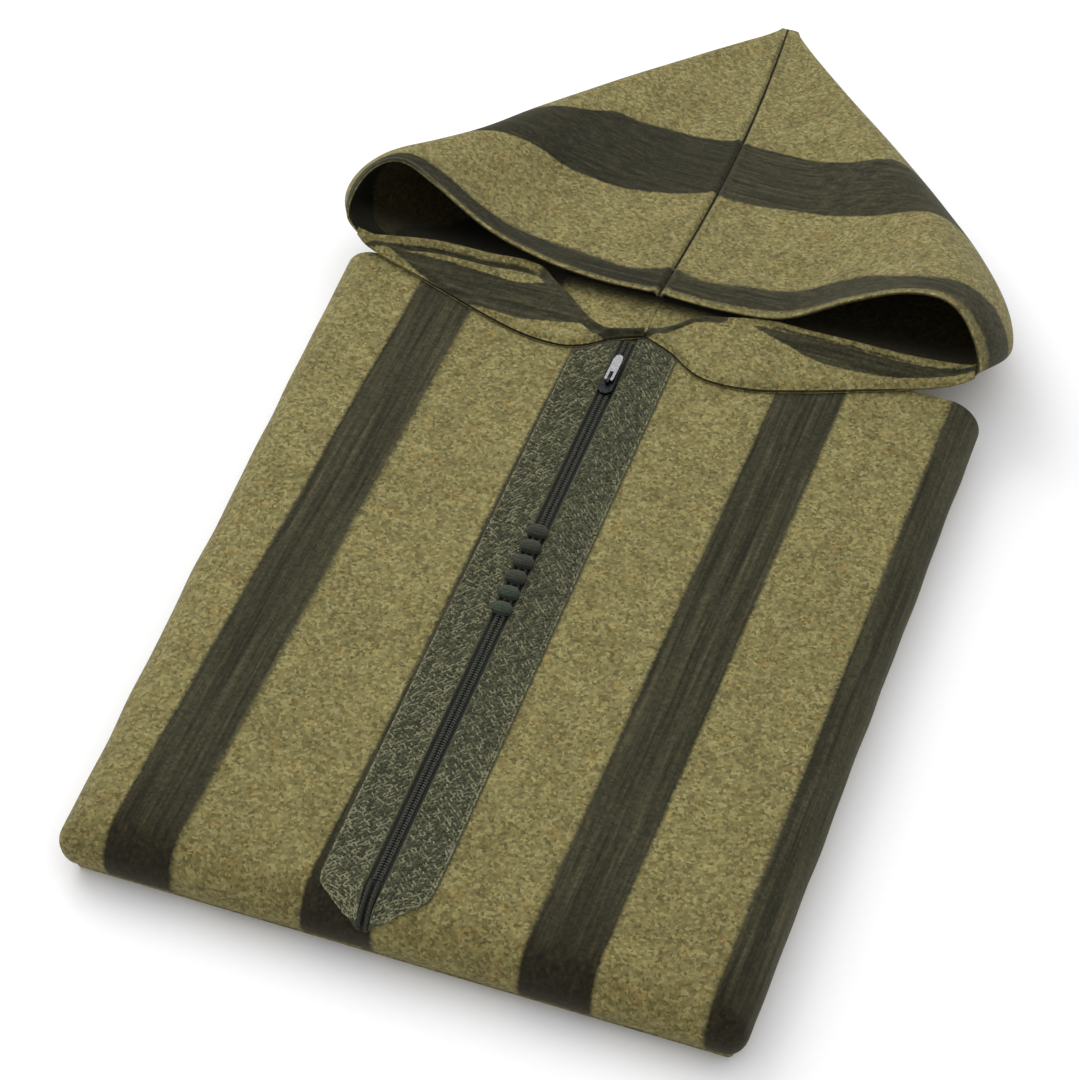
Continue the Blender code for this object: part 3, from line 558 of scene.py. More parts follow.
# Painted shade: the cloth darkens towards the front fold, fading out at places back from it
FOLD_SHADE_LIGHT = ((0.0, (0.84, 0.82, 0.77)), (0.12, (0.93, 0.92, 0.90)), (0.75, WHITE))
FOLD_SHADE_DARK = ((0.0, (0.36, 0.31, 0.24)), (0.10, (0.62, 0.58, 0.50)), (0.32, WHITE))
FOLD_SHADE_END_Y = -0.05
BROAD_TONES = ((0.30, (0.84, 0.83, 0.81)), (0.70, grey(1.12)))
BROWN_PATCHES = ((0.54, WHITE), (0.70, (1.04, 0.88, 0.74)))
# Painted shade on the hood's inner face, from deepest to none
INSIDE_SHADE_TONES = ((0.0, (0.30, 0.28, 0.24)), (1.0, WHITE))
WOOL_SURFACE = {
    "Roughness": 0.93,
    "Sheen Weight": 0.12,
    "Sheen Roughness": 0.5,
    "Sheen Tint": (0.75, 0.72, 0.50, 1.0),
    "Specular IOR Level": 0.2,
}


def wool(name, stripes, low, high, streaks, edge=0.0007, depth=1.0, folded=False):
    """Melange wool with dark stripes placed along the first UV coordinate.

    The second coordinate, from 1 to 2, paints shade inside the hood; folded paints shade towards the front
    fold.
    """
    material, tree, shader, place = new_material(name, WOOL_SURFACE)
    cloth = cloth_uv(tree)
    wobble = noise(tree, place, 300.0, 2.0)
    shift = maths(tree, "MULTIPLY_ADD", {1: 0.0022, 2: -0.0011}, {0: wobble})
    moved = maths(tree, "ADD", links={0: axis(tree, cloth, "X"), 1: shift})
    span = high - low
    stops = [(0.0, grey(0.0))]
    for start, end in stripes:
        for at, value in ((start - edge, 0.0), (start + edge, 1.0), (end - edge, 1.0), (end + edge, 0.0)):
            stops.append((min(max((at - low) / span, 0.0), 1.0), grey(value)))
    mask = ramp(tree, spread(tree, moved, low, high), stops)
    warp = noise(tree, place, 420.0, 2.0, output="Color")
    links = {0: warp, 2: place}
    bent = add_node(tree, "ShaderNodeVectorMath", {1: grey(0.0016)}, links, operation="MULTIPLY_ADD")
    cells = add_node(tree, "ShaderNodeTexVoronoi", {"Scale": 560.0}, {"Vector": bent.outputs[0]})
    fine = maths(tree, "MULTIPLY", {1: 0.45}, {0: noise(tree, place, 900.0, 4.0, 0.7)})
    pick = {0: axis(tree, cells.outputs["Color"], "X"), 2: fine}
    pick = maths(tree, "MULTIPLY_ADD", {1: 0.55}, pick)
    light = ramp(tree, pick, LIGHT_TONES)
    for scale, rough, tones in ((55.0, 0.6, BROAD_TONES), (120.0, 0.65, BROWN_PATCHES)):
        light = multiplied(tree, light, ramp(tree, noise(tree, place, scale, 4.0, rough), tones))
    drawn = add_node(tree, "ShaderNodeMapping", {"Scale": streaks}, {"Vector": place}).outputs["Vector"]
    dark = ramp(tree, noise(tree, drawn, 1.0, 5.0, 0.65), DARK_TONES)
    flecks = ((0.10, grey(0.60 * depth)), (0.55, grey(depth)), (0.90, grey(1.45 * depth)))
    dark = multiplied(tree, dark, ramp(tree, pick, flecks))
    # Painted shade towards the front fold, on the light and the dark cloth
    if folded:
        back = spread(tree, axis(tree, place, "Y"), FRONT_EDGE_Y, FOLD_SHADE_END_Y)
        light = multiplied(tree, light, ramp(tree, back, FOLD_SHADE_LIGHT))
        dark = multiplied(tree, dark, ramp(tree, back, FOLD_SHADE_DARK))
    # Painted shade inside the hood, read from the second UV coordinate
    unlit = spread(tree, axis(tree, cloth, "Y"), 1.0, 2.0, 1.0, 0.0)
    colour = multiplied(tree, mixed(tree, light, dark, mask), ramp(tree, unlit, INSIDE_SHADE_TONES))
    tree.links.new(colour, shader.inputs["Base Color"])
    nap = noise(tree, place, 1300.0, 4.0, 0.7)
    add_bump(tree, shader, maths(tree, "ADD", links={0: pick, 1: nap}), 0.55, 0.0005)
    return material


def fibre(name, tones, scale, roughness=0.85, by_thread=False):
    """Yarn or tape: tones in fine noise, or set thread by thread, with a soft bump."""
    values = {"Roughness": roughness, "Sheen Weight": 0.1, "Specular IOR Level": 0.3}
    material, tree, shader, place = new_material(name, values)
    grain = noise(tree, place, scale, 4.0, 0.65)
    tone = grain
    if by_thread:
        thread = axis(tree, cloth_uv(tree), "X")
        tone = maths(tree, "MULTIPLY_ADD", {1: 0.30}, {0: grain, 2: thread})
    tree.links.new(ramp(tree, tone, tones), shader.inputs["Base Color"])
    add_bump(tree, shader, grain, 0.5, 0.0003)
    return material


def metal(name, dark, light, roughness):
    """Worn metal: tone and roughness vary in fine noise."""
    material, tree, shader, place = new_material(name, {"Roughness": roughness, "Metallic": 1.0})
    grain = noise(tree, place, 700.0, 4.0, 0.6)
    tree.links.new(ramp(tree, grain, ((0.35, dark), (0.65, light))), shader.inputs["Base Color"])
    rough = spread(tree, grain, 0.3, 0.7, roughness - 0.08, roughness + 0.10)
    tree.links.new(rough, shader.inputs["Roughness"])
    add_bump(tree, shader, grain, 0.15, 0.0001)
    return material


HEM = 0.0026
FINE_EDGE = 0.0004
ALONG_Y = (330.0, 9.0, 330.0)
ALONG_X = (9.0, 330.0, 330.0)
body_stripes = [(row["start"], row["end"]) for row in BODY_STRIPES]
body_wool = wool("wool_front", body_stripes, -0.30, 0.30, ALONG_Y, folded=True)
hood_stripe = (HOOD_STRIPE_START, HOOD_STRIPE_END)
hood_wool = wool("wool_hood", [(HEM, FACE_STRIPE_END), hood_stripe], -0.05, 0.45, ALONG_X, depth=0.62)
right_stripes = [(0.0016, 0.0026), (0.0048, FACE_STRIPE_END), hood_stripe]
hood_wool_right = wool("wool_hood_right", right_stripes, -0.05, 0.45, ALONG_X, FINE_EDGE, 0.90)
corner_wool = wool("wool_neck_corner", [(0.0, 0.045)], -0.03, 0.05, (12.0, 330.0, 330.0), FINE_EDGE)
stack_wool = wool("wool_inside", [(0.20, 0.21)], -0.30, 0.30, ALONG_Y)


def two_tones(dark, light):
    return ((0.30, dark), (0.70, light))


braid_ground = fibre("braid_ground", two_tones((0.014, 0.016, 0.007), (0.078, 0.080, 0.044)), 900.0)
braid_thread = fibre(
    "braid_thread",
    (
        (0.15, (0.025, 0.026, 0.010)),
        (0.45, (0.073, 0.075, 0.034)),
        (0.75, (0.142, 0.143, 0.074)),
        (1.00, (0.246, 0.240, 0.138)),
    ),
    700.0,
    by_thread=True,
)
zip_tape = fibre("zip_tape", two_tones((0.004, 0.005, 0.003), (0.016, 0.018, 0.012)), 1200.0)
zip_coil = fibre("zip_coil", two_tones((0.026, 0.028, 0.019), (0.090, 0.094, 0.070)), 500.0, roughness=0.5)
cord_yarn = fibre("placket_cord", two_tones((0.010, 0.012, 0.008), (0.036, 0.040, 0.028)), 900.0)
knot_yarn = fibre("knot_cord", two_tones((0.013, 0.016, 0.009), (0.052, 0.056, 0.038)), 800.0)
green_knot_yarn = fibre("knot_cord_green", two_tones((0.014, 0.022, 0.012), (0.056, 0.074, 0.046)), 800.0)
dark_metal = metal("slider_metal", (0.014, 0.015, 0.015), (0.045, 0.046, 0.047), 0.34)
bright_metal = metal("tab_metal", (0.230, 0.233, 0.236), (0.420, 0.424, 0.428), 0.42)


# Front cloth


def unit(vector):
    return vector / np.linalg.norm(vector)


def ring_parts(inset, back_inset=0.0):
    """Places of the bundle's plan outline, moved in by inset: ends, corners and their arcs."""
    corners = [np.array([c["x"], c["y"]]) for c in BUNDLE_CORNERS]
    insets = (inset, inset, inset, back_inset)
    moved = []
    for i, here in enumerate(corners):
        edge_in = unit(here - corners[i - 1])
        edge_out = unit(corners[(i + 1) % 4] - here)
        inward = np.array([[-edge_in[1], edge_in[0]], [-edge_out[1], edge_out[0]]])
        moved.append(here + np.linalg.solve(inward, [insets[i - 1], insets[i]]))
    arcs = []
    for i, here in enumerate(moved):
        to_before = unit(moved[i - 1] - here)
        to_after = unit(moved[(i + 1) % 4] - here)
        radius = BUNDLE_CORNERS[i]["radius"]
        radius = radius if radius < FINE_CORNER else max(radius - inset, FINE_CORNER / 3)
        half_angle = math.acos(float(np.clip(to_before @ to_after, -1, 1))) / 2
        centre = here + unit(to_before + to_after) * radius / math.sin(half_angle)
        start = here + to_before * radius / math.tan(half_angle) - centre
        end = here + to_after * radius / math.tan(half_angle) - centre
        first = math.atan2(start[1], start[0])
        turn = (math.atan2(end[1], end[0]) - first + math.pi) % math.tau - math.pi
        angles = first + turn * np.linspace(0, 1, CORNER_POINTS)
        arcs.append(centre + radius * np.stack([np.cos(angles), np.sin(angles)], 1))

    def at_panel_end(start, end, y):
        return start + (end - start) * (y - start[1]) / (end[1] - start[1])

    return {
        "left_end": at_panel_end(arcs[0][-1], arcs[1][0], PANEL_BACK_Y + BACK_LEFT_REACH),
        "right_end": at_panel_end(arcs[2][-1], arcs[3][0], PANEL_BACK_Y),
        "arcs": arcs,
        "corners": moved,
    }


FRONT_ROWS = 150
LEFT_COLUMNS = 48
SLIT_COLUMNS = 3
RIGHT_COLUMNS = 62
FOLD_ROWS = 18


def front_relief(x, y):
    """Small rises and creases of the front, none under the placket or the hood."""
    total = 0.00028 * soft_waves(x, y, 0.110, 4) + 0.00010 * soft_waves(x, y, 0.035, 9)
    for row in FRONT_CREASES:
        total = total - crease_depth(x, y, **row)
    beside = smooth_step(0.037, 0.062, np.abs(x - zip_x(y - FRONT_EDGE_Y)))
    return total * beside * (1 - smooth_step(0.195, 0.225, y))


def front_surface():
    """Front cloth: a grid with the slit left out, and rows that run down over the folds."""
    top = ring_parts(FOLD_RADIUS)
    left_corner, right_corner = top["corners"][1:3]
    slit_y = ZIP_START - GAP + FRONT_EDGE_Y
    ys = np.concatenate([[left_corner[1]], np.linspace(slit_y, PANEL_BACK_Y, FRONT_ROWS)])
    grid = []
    for y in ys:
        back = float((y - left_corner[1]) / (PANEL_BACK_Y - left_corner[1]))
        left = mix(left_corner[0], top["left_end"][0], back)
        right = mix(right_corner[0], top["right_end"][0], back)
        middle = float(zip_x(y - FRONT_EDGE_Y))
        xs = np.concatenate(
            [
                np.linspace(left, middle - SLIT_HALF, LEFT_COLUMNS + 1),
                np.linspace(middle - SLIT_HALF, middle + SLIT_HALF, SLIT_COLUMNS + 1)[1:],
                np.linspace(middle + SLIT_HALF, right, RIGHT_COLUMNS + 1)[1:],
            ]
        )
        further = BACK_LEFT_REACH * max(back, 0.0) ** 6 * np.clip((middle - xs) / (middle - left), 0, 1)
        grid.append(np.stack([xs, y + further, np.full(len(xs), HEIGHT)], 1))
    grid = np.array(grid)
    grid[..., 2] += front_relief(grid[..., 0], grid[..., 1])
    rows, columns = grid.shape[:2]
    faces = grid_faces(rows, columns).reshape(rows - 1, columns - 1, 4)
    keep = np.ones((rows - 1, columns - 1), bool)
    keep[1:, LEFT_COLUMNS : LEFT_COLUMNS + SLIT_COLUMNS] = False
    faces = faces[keep]
    points = grid.reshape(-1, 3)
    left_base = [i * columns for i in range(rows - 1, -1, -1)]
    front_base = list(range(1, columns - 1))
    right_base = [i * columns + columns - 1 for i in range(rows)]
    fan = CORNER_POINTS - 1
    base = np.array(left_base + [0] * fan + front_base + [columns - 1] * fan + right_base)
    edge = points[base]
    back_share = (ys - ys[0]) / (ys[-1] - ys[0])
    front_share = (grid[0, 1:-1, 0] - left_corner[0]) / (right_corner[0] - left_corner[0])
    flat = ring_parts(0.0)
    ring_rows = []
    ring_uv = []
    for angle in np.linspace(math.pi / 2, PANEL_END_ANGLE, FOLD_ROWS)[1:]:
        reach = FOLD_RADIUS * math.cos(angle)
        outline = ring_parts(FOLD_RADIUS - reach)
        plan = []
        for parts in (outline, flat):
            left_arc, right_arc = parts["arcs"][1:3]
            left = mix(left_arc[0], parts["left_end"], back_share[::-1, None])
            front = mix(left_arc[-1], right_arc[0], front_share[:, None])
            right = mix(right_arc[-1], parts["right_end"], back_share[:, None])
            plan.append(np.concatenate([left, left_arc[1:], front, right_arc[:-1], right]))
        away = plan[1] - edge[:, :2]
        away /= np.linalg.norm(away, axis=1, keepdims=True)
        run = FOLD_RADIUS * (math.pi / 2 - angle)
        soft = 0.0005 * soft_waves(edge[:, 0] + edge[:, 1], run * np.ones(len(base)), 0.06, 21)
        soft = soft * math.cos(angle) * (1 - smooth_step(0.20, 0.235, edge[:, 1]))
        xy = plan[0] + away * soft[:, None] - away * 0.0004
        z = FOLD_RADIUS + FOLD_RADIUS * math.sin(angle)
        z = z + (edge[:, 2] - HEIGHT) * max(math.sin(angle), 0.0)
        ring_rows.append(np.column_stack([xy, z]))
        carried = edge[:, :2] + away * run
        beside = smooth_step(0.55, 0.95, np.abs(away[:, 0]))
        carried[:, 0] = mix(xy[:, 0], carried[:, 0], beside)
        ring_uv.append(carried)
    count = len(points)
    width = len(base)
    index = np.concatenate([base[None, :], count + np.arange(len(ring_rows) * width).reshape(-1, width)])
    a, b, c, d = index[:-1, 1:], index[:-1, :-1], index[1:, :-1], index[1:, 1:]
    folds = np.stack([a, b, c, d], -1).reshape(-1, 4)
    uv = np.concatenate([points[:, :2], np.concatenate(ring_uv)])
    lean = np.clip((uv[:, 1] - FRONT_EDGE_Y - 0.12) * 0.02, 0, 0.0055)
    uv[:, 0] += lean * np.exp(-(((uv[:, 0] + 0.056) / 0.010) ** 2))
    points = np.concatenate([points, np.concatenate(ring_rows)])
    return shell(points, np.concatenate([faces, folds]), CLOTH * 0.9, uv)


robe_front = new_piece("robe_front", *front_surface(), body_wool, "wool", ("front_panel",))


STACK_SIDE_POINTS = 60
STACK_ROWS = 46
BOTTOM_ROWS = 8
BACK_SIDE = 3


def fold_inset(radius, z):
    """How far in from the bundle's edge a fold of that radius lies at height z."""
    return FOLD_RADIUS - math.sqrt(max(radius**2 - (z - FOLD_RADIUS) ** 2, 0.0))


def stack_surface():
    """Hidden folded layers: one closed form whose layer edges show at the back."""
    top = HEIGHT - CLOTH - GAP
    layer = HEIGHT / LAYER_COUNT
    rows = []
    uvs = []
    bottom = np.linspace(BOTTOM_LAYER_HEIGHT, 0, BOTTOM_ROWS)[1:]
    for z in np.concatenate([np.linspace(top, BOTTOM_LAYER_HEIGHT, STACK_ROWS), bottom]).tolist():
        covered = fold_inset(FOLD_RADIUS - CLOTH - GAP, z)
        if z <= BOTTOM_LAYER_HEIGHT + 1e-6:
            low = 2 * z / BOTTOM_LAYER_HEIGHT - 1
            rounding = 1 - math.sqrt(max(1 - low * low, 0))
            covered = BOTTOM_LAYER_SETBACK + 0.5 * BOTTOM_LAYER_HEIGHT * rounding
        phase = ((HEIGHT - z) / layer) % 1.0
        groove = LAYER_BULGE * (1 - math.sin(math.pi * phase) ** 0.6)
        layered = LAYER_SETBACK + 0.2 * fold_inset(FOLD_RADIUS, z) + groove
        layered = min(layered, LAYER_SETBACK_MOST)
        arcs = ring_parts(covered, layered)["arcs"]
        ring = []
        for i, arc in enumerate(arcs):
            side = mix(arc[-1], arcs[(i + 1) % 4][0], np.linspace(0, 1, STACK_SIDE_POINTS)[1:-1, None])
            if i == BACK_SIDE:
                waves = soft_waves(side[:, 0], np.full(len(side), 0.4 * z), 0.12, 31)
                side[:, 1] -= 0.0006 * (1 + waves)
            ring += [arc, side]
        ring = np.concatenate(ring)
        rows.append(np.column_stack([ring, np.full(len(ring), z)]))
        uvs.append(np.stack([ring[:, 0] * 0.5, ring[:, 1]], 1))
    rows = np.array(rows)
    count, width = rows.shape[:2]
    points = rows.reshape(-1, 3)
    uv = np.concatenate(uvs)
    faces = [grid_faces(count, width, wrap=True)[:, ::-1]]
    for ring_start, flip in ((0, False), ((count - 1) * width, True)):
        centre = len(points)
        ring = ring_start + np.arange(width)
        after = np.roll(ring, -1)
        middle = points[ring].mean(axis=0, keepdims=True)
        points = np.concatenate([points, middle])
        uv = np.concatenate([uv, [[0.0, 0.0]]])
        centres = np.full(width, centre)
        fan = np.stack([after, ring, centres, centres] if flip else [ring, after, centres, centres], 1)
        faces.append(fan)
    return points, np.concatenate(faces), uv


folded_stack = new_piece("folded_stack", *stack_surface(), stack_wool, "wool", ("folded_layers",))


# Hood


def hood_axis_x(distance):
    t = (np.asarray(distance, float) - HOOD_AXIS_START) / (HOOD_TIP_Y - HOOD_AXIS_START)
    t = np.clip(t, 0, 1)
    return mix(HOOD_AXIS_MOUTH_X, HOOD_AXIS_TIP_X, t)


def fold_half_width(side, distance):
    return read(HOOD_PLAN, "left" if side < 0 else "right", distance)


def hood_x(side, share, distance):
    t = np.clip((distance - HOOD_PLAN[0]["y"]) / (HOOD_TIP_Y - HOOD_PLAN[0]["y"]), 0, 1)
    bow = HOOD_AXIS_BOW * np.sin(math.pi * t) * (1 - share**2)
    reach = mix(SEAM_HALF_GAP, fold_half_width(side, distance), share)
    return hood_axis_x(distance) + bow + side * reach


def support_height(distance):
    return (HEIGHT + GAP) * (1 - smooth_step(DRAPE_START_Y, DRAPE_END_Y, distance))


def fold_height(top_z, distance):
    return FOLD_MIDDLE * top_z + (1 - FOLD_MIDDLE) * support_height(distance)


def fold_bend(share):
    """1 over the middle of a wall, down to 0 at the side fold."""
    return np.sqrt(np.maximum(1 - share**FOLD_SHARPNESS, 0.0))


def hood_points(side, places, steps):
    """Points on the hood's outer surface, rows from the mouth to the tip."""
    place, v = np.meshgrid(places, steps)
    upper = place <= 1
    share = np.sin(math.pi / 2 * np.where(upper, place, 2 - place))
    lip = LEFT_LIP if side < 0 else RIGHT_LIP
    fold_y = mix(HOOD_PLAN[0]["y"], HOOD_PLAN[-1]["y"], v)
    top_y = mix(read(lip, "y", share), HOOD_TIP_Y, v)
    low_y = mix(read(NECK_SEAM, "y", share), HOOD_TIP_Y, v)
    seam_z = mix(lip[0]["z"], HOOD_TIP_Z, v)
    decay = (1 - v) ** 1.1
    top_z = seam_z + (read(lip, "z", share) - lip[0]["z"]) * decay
    fold_top_z = seam_z + (lip[-1]["z"] - lip[0]["z"]) * decay
    middle = fold_height(fold_top_z, fold_y)
    bend = fold_bend(share)
    pull = np.where(upper, share**6, share**12)
    z = np.where(upper, mix(middle, top_z, bend), mix(middle, support_height(low_y), bend))
    y = np.where(upper, top_y, low_y) * (1 - pull) + fold_y * pull
    return np.stack([hood_x(side, share, y), y + FRONT_EDGE_Y, z], -1), share, v, upper


def ridge(away, middle, width, rise):
    """Height of a rounded ridge, at a distance across it."""
    return rise * np.exp(-(((away - middle) / width) ** 2))


# A UV value well outside the dark cloth
OUTSIDE = -0.02
# Dark stripe cloth and painted shade on the hood's inner face: shares of the half width, distances and a
# length per share
PATCH_SHARE = 0.84
CENTRE_SHARE = 0.30
NECK_SHARE = 0.25
CENTRE_END_Y = 0.530
LIP_SHADE_Y = 0.522
SEAM_SHADE_WIDTH = 0.0045
SHARE_LENGTH = 0.1


def inside_stripe_and_shade(side, share, distance, upper):
    """How far a place of the hood's inner face lies in dark stripe cloth or painted shade; below 0 it is
    light.
    """
    seam = read(NECK_SEAM, "y", share)
    centre = (CENTRE_SHARE - share) * SHARE_LENGTH
    if side < 0:
        edge = read(LEFT_INSIDE_EDGE, "y", share) + np.where(upper, 0.35 * (1 - share), 0.0)
        patch = np.minimum(distance - edge, (share - PATCH_SHARE) * SHARE_LENGTH)
        centre = np.minimum(np.minimum(centre, CENTRE_END_Y - distance), distance - seam - SEAM_SHADE_WIDTH)
        return -np.maximum(patch, np.where(upper, OUTSIDE, centre))
    neck = np.minimum(SEAM_SHADE_WIDTH - (distance - seam), (NECK_SHARE - share) * SHARE_LENGTH)
    lip_shade = np.minimum(distance - LIP_SHADE_Y, centre)
    return np.where(upper, lip_shade, np.maximum(neck, lip_shade))


HEM_END = 0.0032
HOOD_ROWS = 130
HOOD_UPPER = 84
HOOD_LOWER = 50


def hood_half(name, side, stripes, material):
    """Half of the hood, with the seam's welt, the mouth's hem, soft creases and stripes."""
    seam_places = [0.0, 0.0014, 0.0030, 0.0050, 0.0080, 0.0120, 0.0170, 0.0230]
    ups = np.concatenate([seam_places, np.linspace(0.030, 1, HOOD_UPPER)])
    lows = 2 - np.linspace(1, 0, HOOD_LOWER)[1:]
    places = np.concatenate([ups, lows])
    steps = np.linspace(0, 1, HOOD_ROWS) ** 1.1
    grid, share, v, upper = hood_points(side, places, steps)
    seam_away = np.abs(grid[..., 0] - grid[:, :1, 0])
    fade = 1 - smooth_step(0.90, 1.0, v)
    welt = ridge(seam_away, 0.0036, 0.0020, 0.0012) - ridge(seam_away, 0.0, 0.0012, 0.0020)
    relief = np.where(upper, welt * fade, 0.0)
    soft = 0.0011 * soft_waves(grid[..., 0], grid[..., 1], 0.13, 50 + side) * smooth_step(0.0, 0.25, share)
    for row in HOOD_CREASES[side]:
        soft = soft - crease_depth(share, v, **row)
    soft = soft * (1 - smooth_step(0.80, 0.98, share)) * smooth_step(0.0, 0.08, v) * fade
    relief += np.where(upper, soft, 0.0)
    steps_run = np.cumsum(np.linalg.norm(np.diff(grid, axis=0), axis=2), axis=0)
    run = np.concatenate([np.zeros((1, len(places))), steps_run])
    hem = 0.0007 * smooth_step(0.0, 0.0012, run) * (1 - smooth_step(0.0030, 0.0042, run))
    hem -= ridge(run, 0.0045, 0.0009, 0.0004)
    relief += np.where(share > 0.02, hem, 0.0)
    grid[..., 2] += np.where(upper, relief, 0.0)
    close = []
    middle = grid[-1].copy()
    mirrored = np.interp(2 - places, places, grid[-1, :, 2])
    middle[:, 2] = 0.5 * (grid[-1, :, 2] + mirrored)
    for angle in (0.5, 1.0, 1.45):
        row = mix(grid[-1], middle, 1 - math.cos(angle))
        row[:, 1] += 0.0030 * math.sin(angle)
        close.append(row)
    whole = np.concatenate([grid, np.array(close)])
    face, start, end = (read(stripes, edge, share) for edge in ("face", "start", "end"))
    part = np.clip((run - HEM_END) / np.maximum(face - HEM_END, 0.0008), 0, 1)
    q = np.where(run < HEM_END, run * HEM / HEM_END, mix(HEM, FACE_STRIPE_END, part))
    plain = (face, start, FACE_STRIPE_END, HOOD_STRIPE_START)
    dark = (start, end, HOOD_STRIPE_START, HOOD_STRIPE_END)
    for low, high, low_q, high_q in (plain, dark):
        q = np.where(run > low, low_q + (high_q - low_q) * (run - low) / (high - low), q)
    q = np.where(run > end, HOOD_STRIPE_END + run - end, q)
    q = np.where(seam_away < 0.0007, np.where(run < face, 0.012, 0.145), q)
    dark_rim = smooth_step(0.64, 0.80, share) if side < 0 else 0.0
    q_out = q + np.where(run < HEM_END, 1.6 * HEM, 0.0) * dark_rim
    distance = grid[..., 1] - FRONT_EDGE_Y
    # Inner face: dark stripe cloth where the face stripe shows through, and as painted shade at the neck
    # seam, under the lip and deep inside
    q_in = np.clip(HOOD_STRIPE_END - inside_stripe_and_shade(side, share, distance, upper), 0.15, 0.25)
    # Painted shade on the inner face: all over the upper wall, and on the lower wall near the neck seam, deep
    # under the lip and towards the side fold
    seam_back = distance - read(NECK_SEAM, "y", share)
    shade = np.maximum(smooth_step(0.500, 0.535, distance), 1 - smooth_step(0.0035, 0.0055, seam_back))
    shade = 1 + np.where(upper, 1.0, np.maximum(shade, smooth_step(0.25, 0.40, share)))
    q_out, q_in, shade = (
        np.concatenate([field, np.repeat(field[-1:], len(close), axis=0)]) for field in (q_out, q_in, shade)
    )
    uv = np.stack([q_out, whole[..., 0]], -1)
    return cloth(name, side, whole, HOOD_WALL, uv, material, "wool", np.stack([q_in, shade], -1))


robe_hood_left = hood_half("hood_left", -1, LEFT_HOOD_STRIPES, hood_wool)
robe_hood_right = hood_half("hood_right", 1, RIGHT_HOOD_STRIPES, hood_wool_right)


CORNER_GAP = 0.0002


def lower_wall_top(side, share, distance):
    """Height that the turned-down corners lie on, over the hood's lower wall."""
    lip = LEFT_LIP if side < 0 else RIGHT_LIP
    low = support_height(np.minimum(distance, DRAPE_START_Y))
    return mix(fold_height(lip[-1]["z"], HOOD_PLAN[0]["y"]), low, fold_bend(share)) + HOOD_WALL + CORNER_GAP


CORNER_ROWS = 40
CORNER_COLUMNS = 110
CORNER_CLOTH = 0.9 * HOOD_WALL
CORNER_LEAST = 0.0030
BAND_SHARE_LENGTH = 0.07


def neck_corner(name, side, free_edge, stripe, edge_band):
    """Turned-down front corner of a hood half, from the neck seam to its free edge."""
    shares = np.linspace(free_edge[0]["share"], free_edge[-1]["share"], CORNER_COLUMNS)
    share, t = np.meshgrid(shares, np.linspace(0, 1, CORNER_ROWS))
    half_width = HOOD_PLAN[0]["left" if side < 0 else "right"]
    start = read(NECK_SEAM, "y", share) + CORNER_START_SETBACK
    end = np.maximum(read(free_edge, "y", share), start + CORNER_LEAST)
    lift = read(free_edge, "lift", share)
    y = mix(start, end, t)
    x = hood_axis_x(y) + side * share * half_width
    z = lower_wall_top(side, share, y) + GAP + lift * t**1.6 + CORNER_CLOTH
    run = y - start
    back = end - y
    z -= ridge(run, 0.0, 0.0020, 0.0016)
    z += ridge(run, 0.0042, 0.0024, 0.0015)
    z += ridge(back, 0.0018, 0.0016, 0.0007)
    wide = smooth_step(0.012, 0.022, end - start)
    # Painted shadow along the creases, laid as dark stripe cloth
    shadow = np.full(share.shape, OUTSIDE)
    for row in NECK_CREASES[side]:
        along = smooth_step(row["from"] - 0.05, row["from"] + 0.05, share)
        along = along * (1 - smooth_step(row["to"] - 0.06, row["to"] + 0.06, share))
        z -= ridge(back, row["back"], row["width"], row["depth"] * along * wide)
        dark = (row["dark"] + 0.0004) * along - 0.0004
        shadow = np.maximum(shadow, dark - np.abs(back - row["back"]))
    z += 0.0005 * soft_waves(x, y, 0.05, 70 + side) * np.sin(math.pi * t)
    grid = np.stack([x, y + FRONT_EDGE_Y, z], -1)
    low = read(stripe, "start", share)
    high = read(stripe, "end", share)
    q = np.minimum(y - low, high - y)
    band_end = (edge_band["share"] - share) * BAND_SHARE_LENGTH
    q = np.maximum(q, np.minimum(edge_band["width"] - back, band_end))
    q = np.clip(np.maximum(q, shadow), OUTSIDE, 0.04)
    return cloth(name, side, grid, CORNER_CLOTH, np.stack([q, x], -1), corner_wool, "wool")


robe_corner_left = neck_corner(
    "neck_corner_left", -1, LEFT_FREE_EDGE, LEFT_CORNER_STRIPE, LEFT_EDGE_BAND
)
robe_corner_right = neck_corner(
    "neck_corner_right", 1, RIGHT_FREE_EDGE, RIGHT_CORNER_STRIPE, RIGHT_EDGE_BAND
)


# Placket: braid bands


def band_edges(sign, outer, corner_arc, run):
    """Inner and outer edge of the band at each place run, 0 at the point and 1 at the neck."""
    cord_side = CORD_OFFSET + CORD_RADIUS + GAP
    top = zip_x(ZIP_END) + sign * np.array([BAND_INNER, outer])
    inner_end, outer_end = neck_seam_y(top) - BAND_TOP_CLEAR - FOLD_RADIUS
    point = np.clip(run / BAND_POINT, 0, 1)
    rest = np.clip((run - BAND_POINT) / (1 - BAND_POINT), 0, 1)
    inner_arc = np.where(run < BAND_POINT, TIP_ARC * (1 - point), inner_end * rest)
    outer_low = TIP_ARC + POINT_BLUNT
    below = mix(outer_low, corner_arc, point)
    outer_arc = np.where(run < BAND_POINT, below, mix(corner_arc, outer_end, rest))
    inner_side = mix(cord_side, BAND_INNER, smooth_step(0.3, 1.0, point))
    before = 1 - run / BAND_POINT
    before = 0.5 * (before + np.sqrt(before**2 + 0.02))
    outer_side = outer - (outer - cord_side - POINT_BLUNT) * before
    return inner_arc, outer_arc, inner_side, outer_side


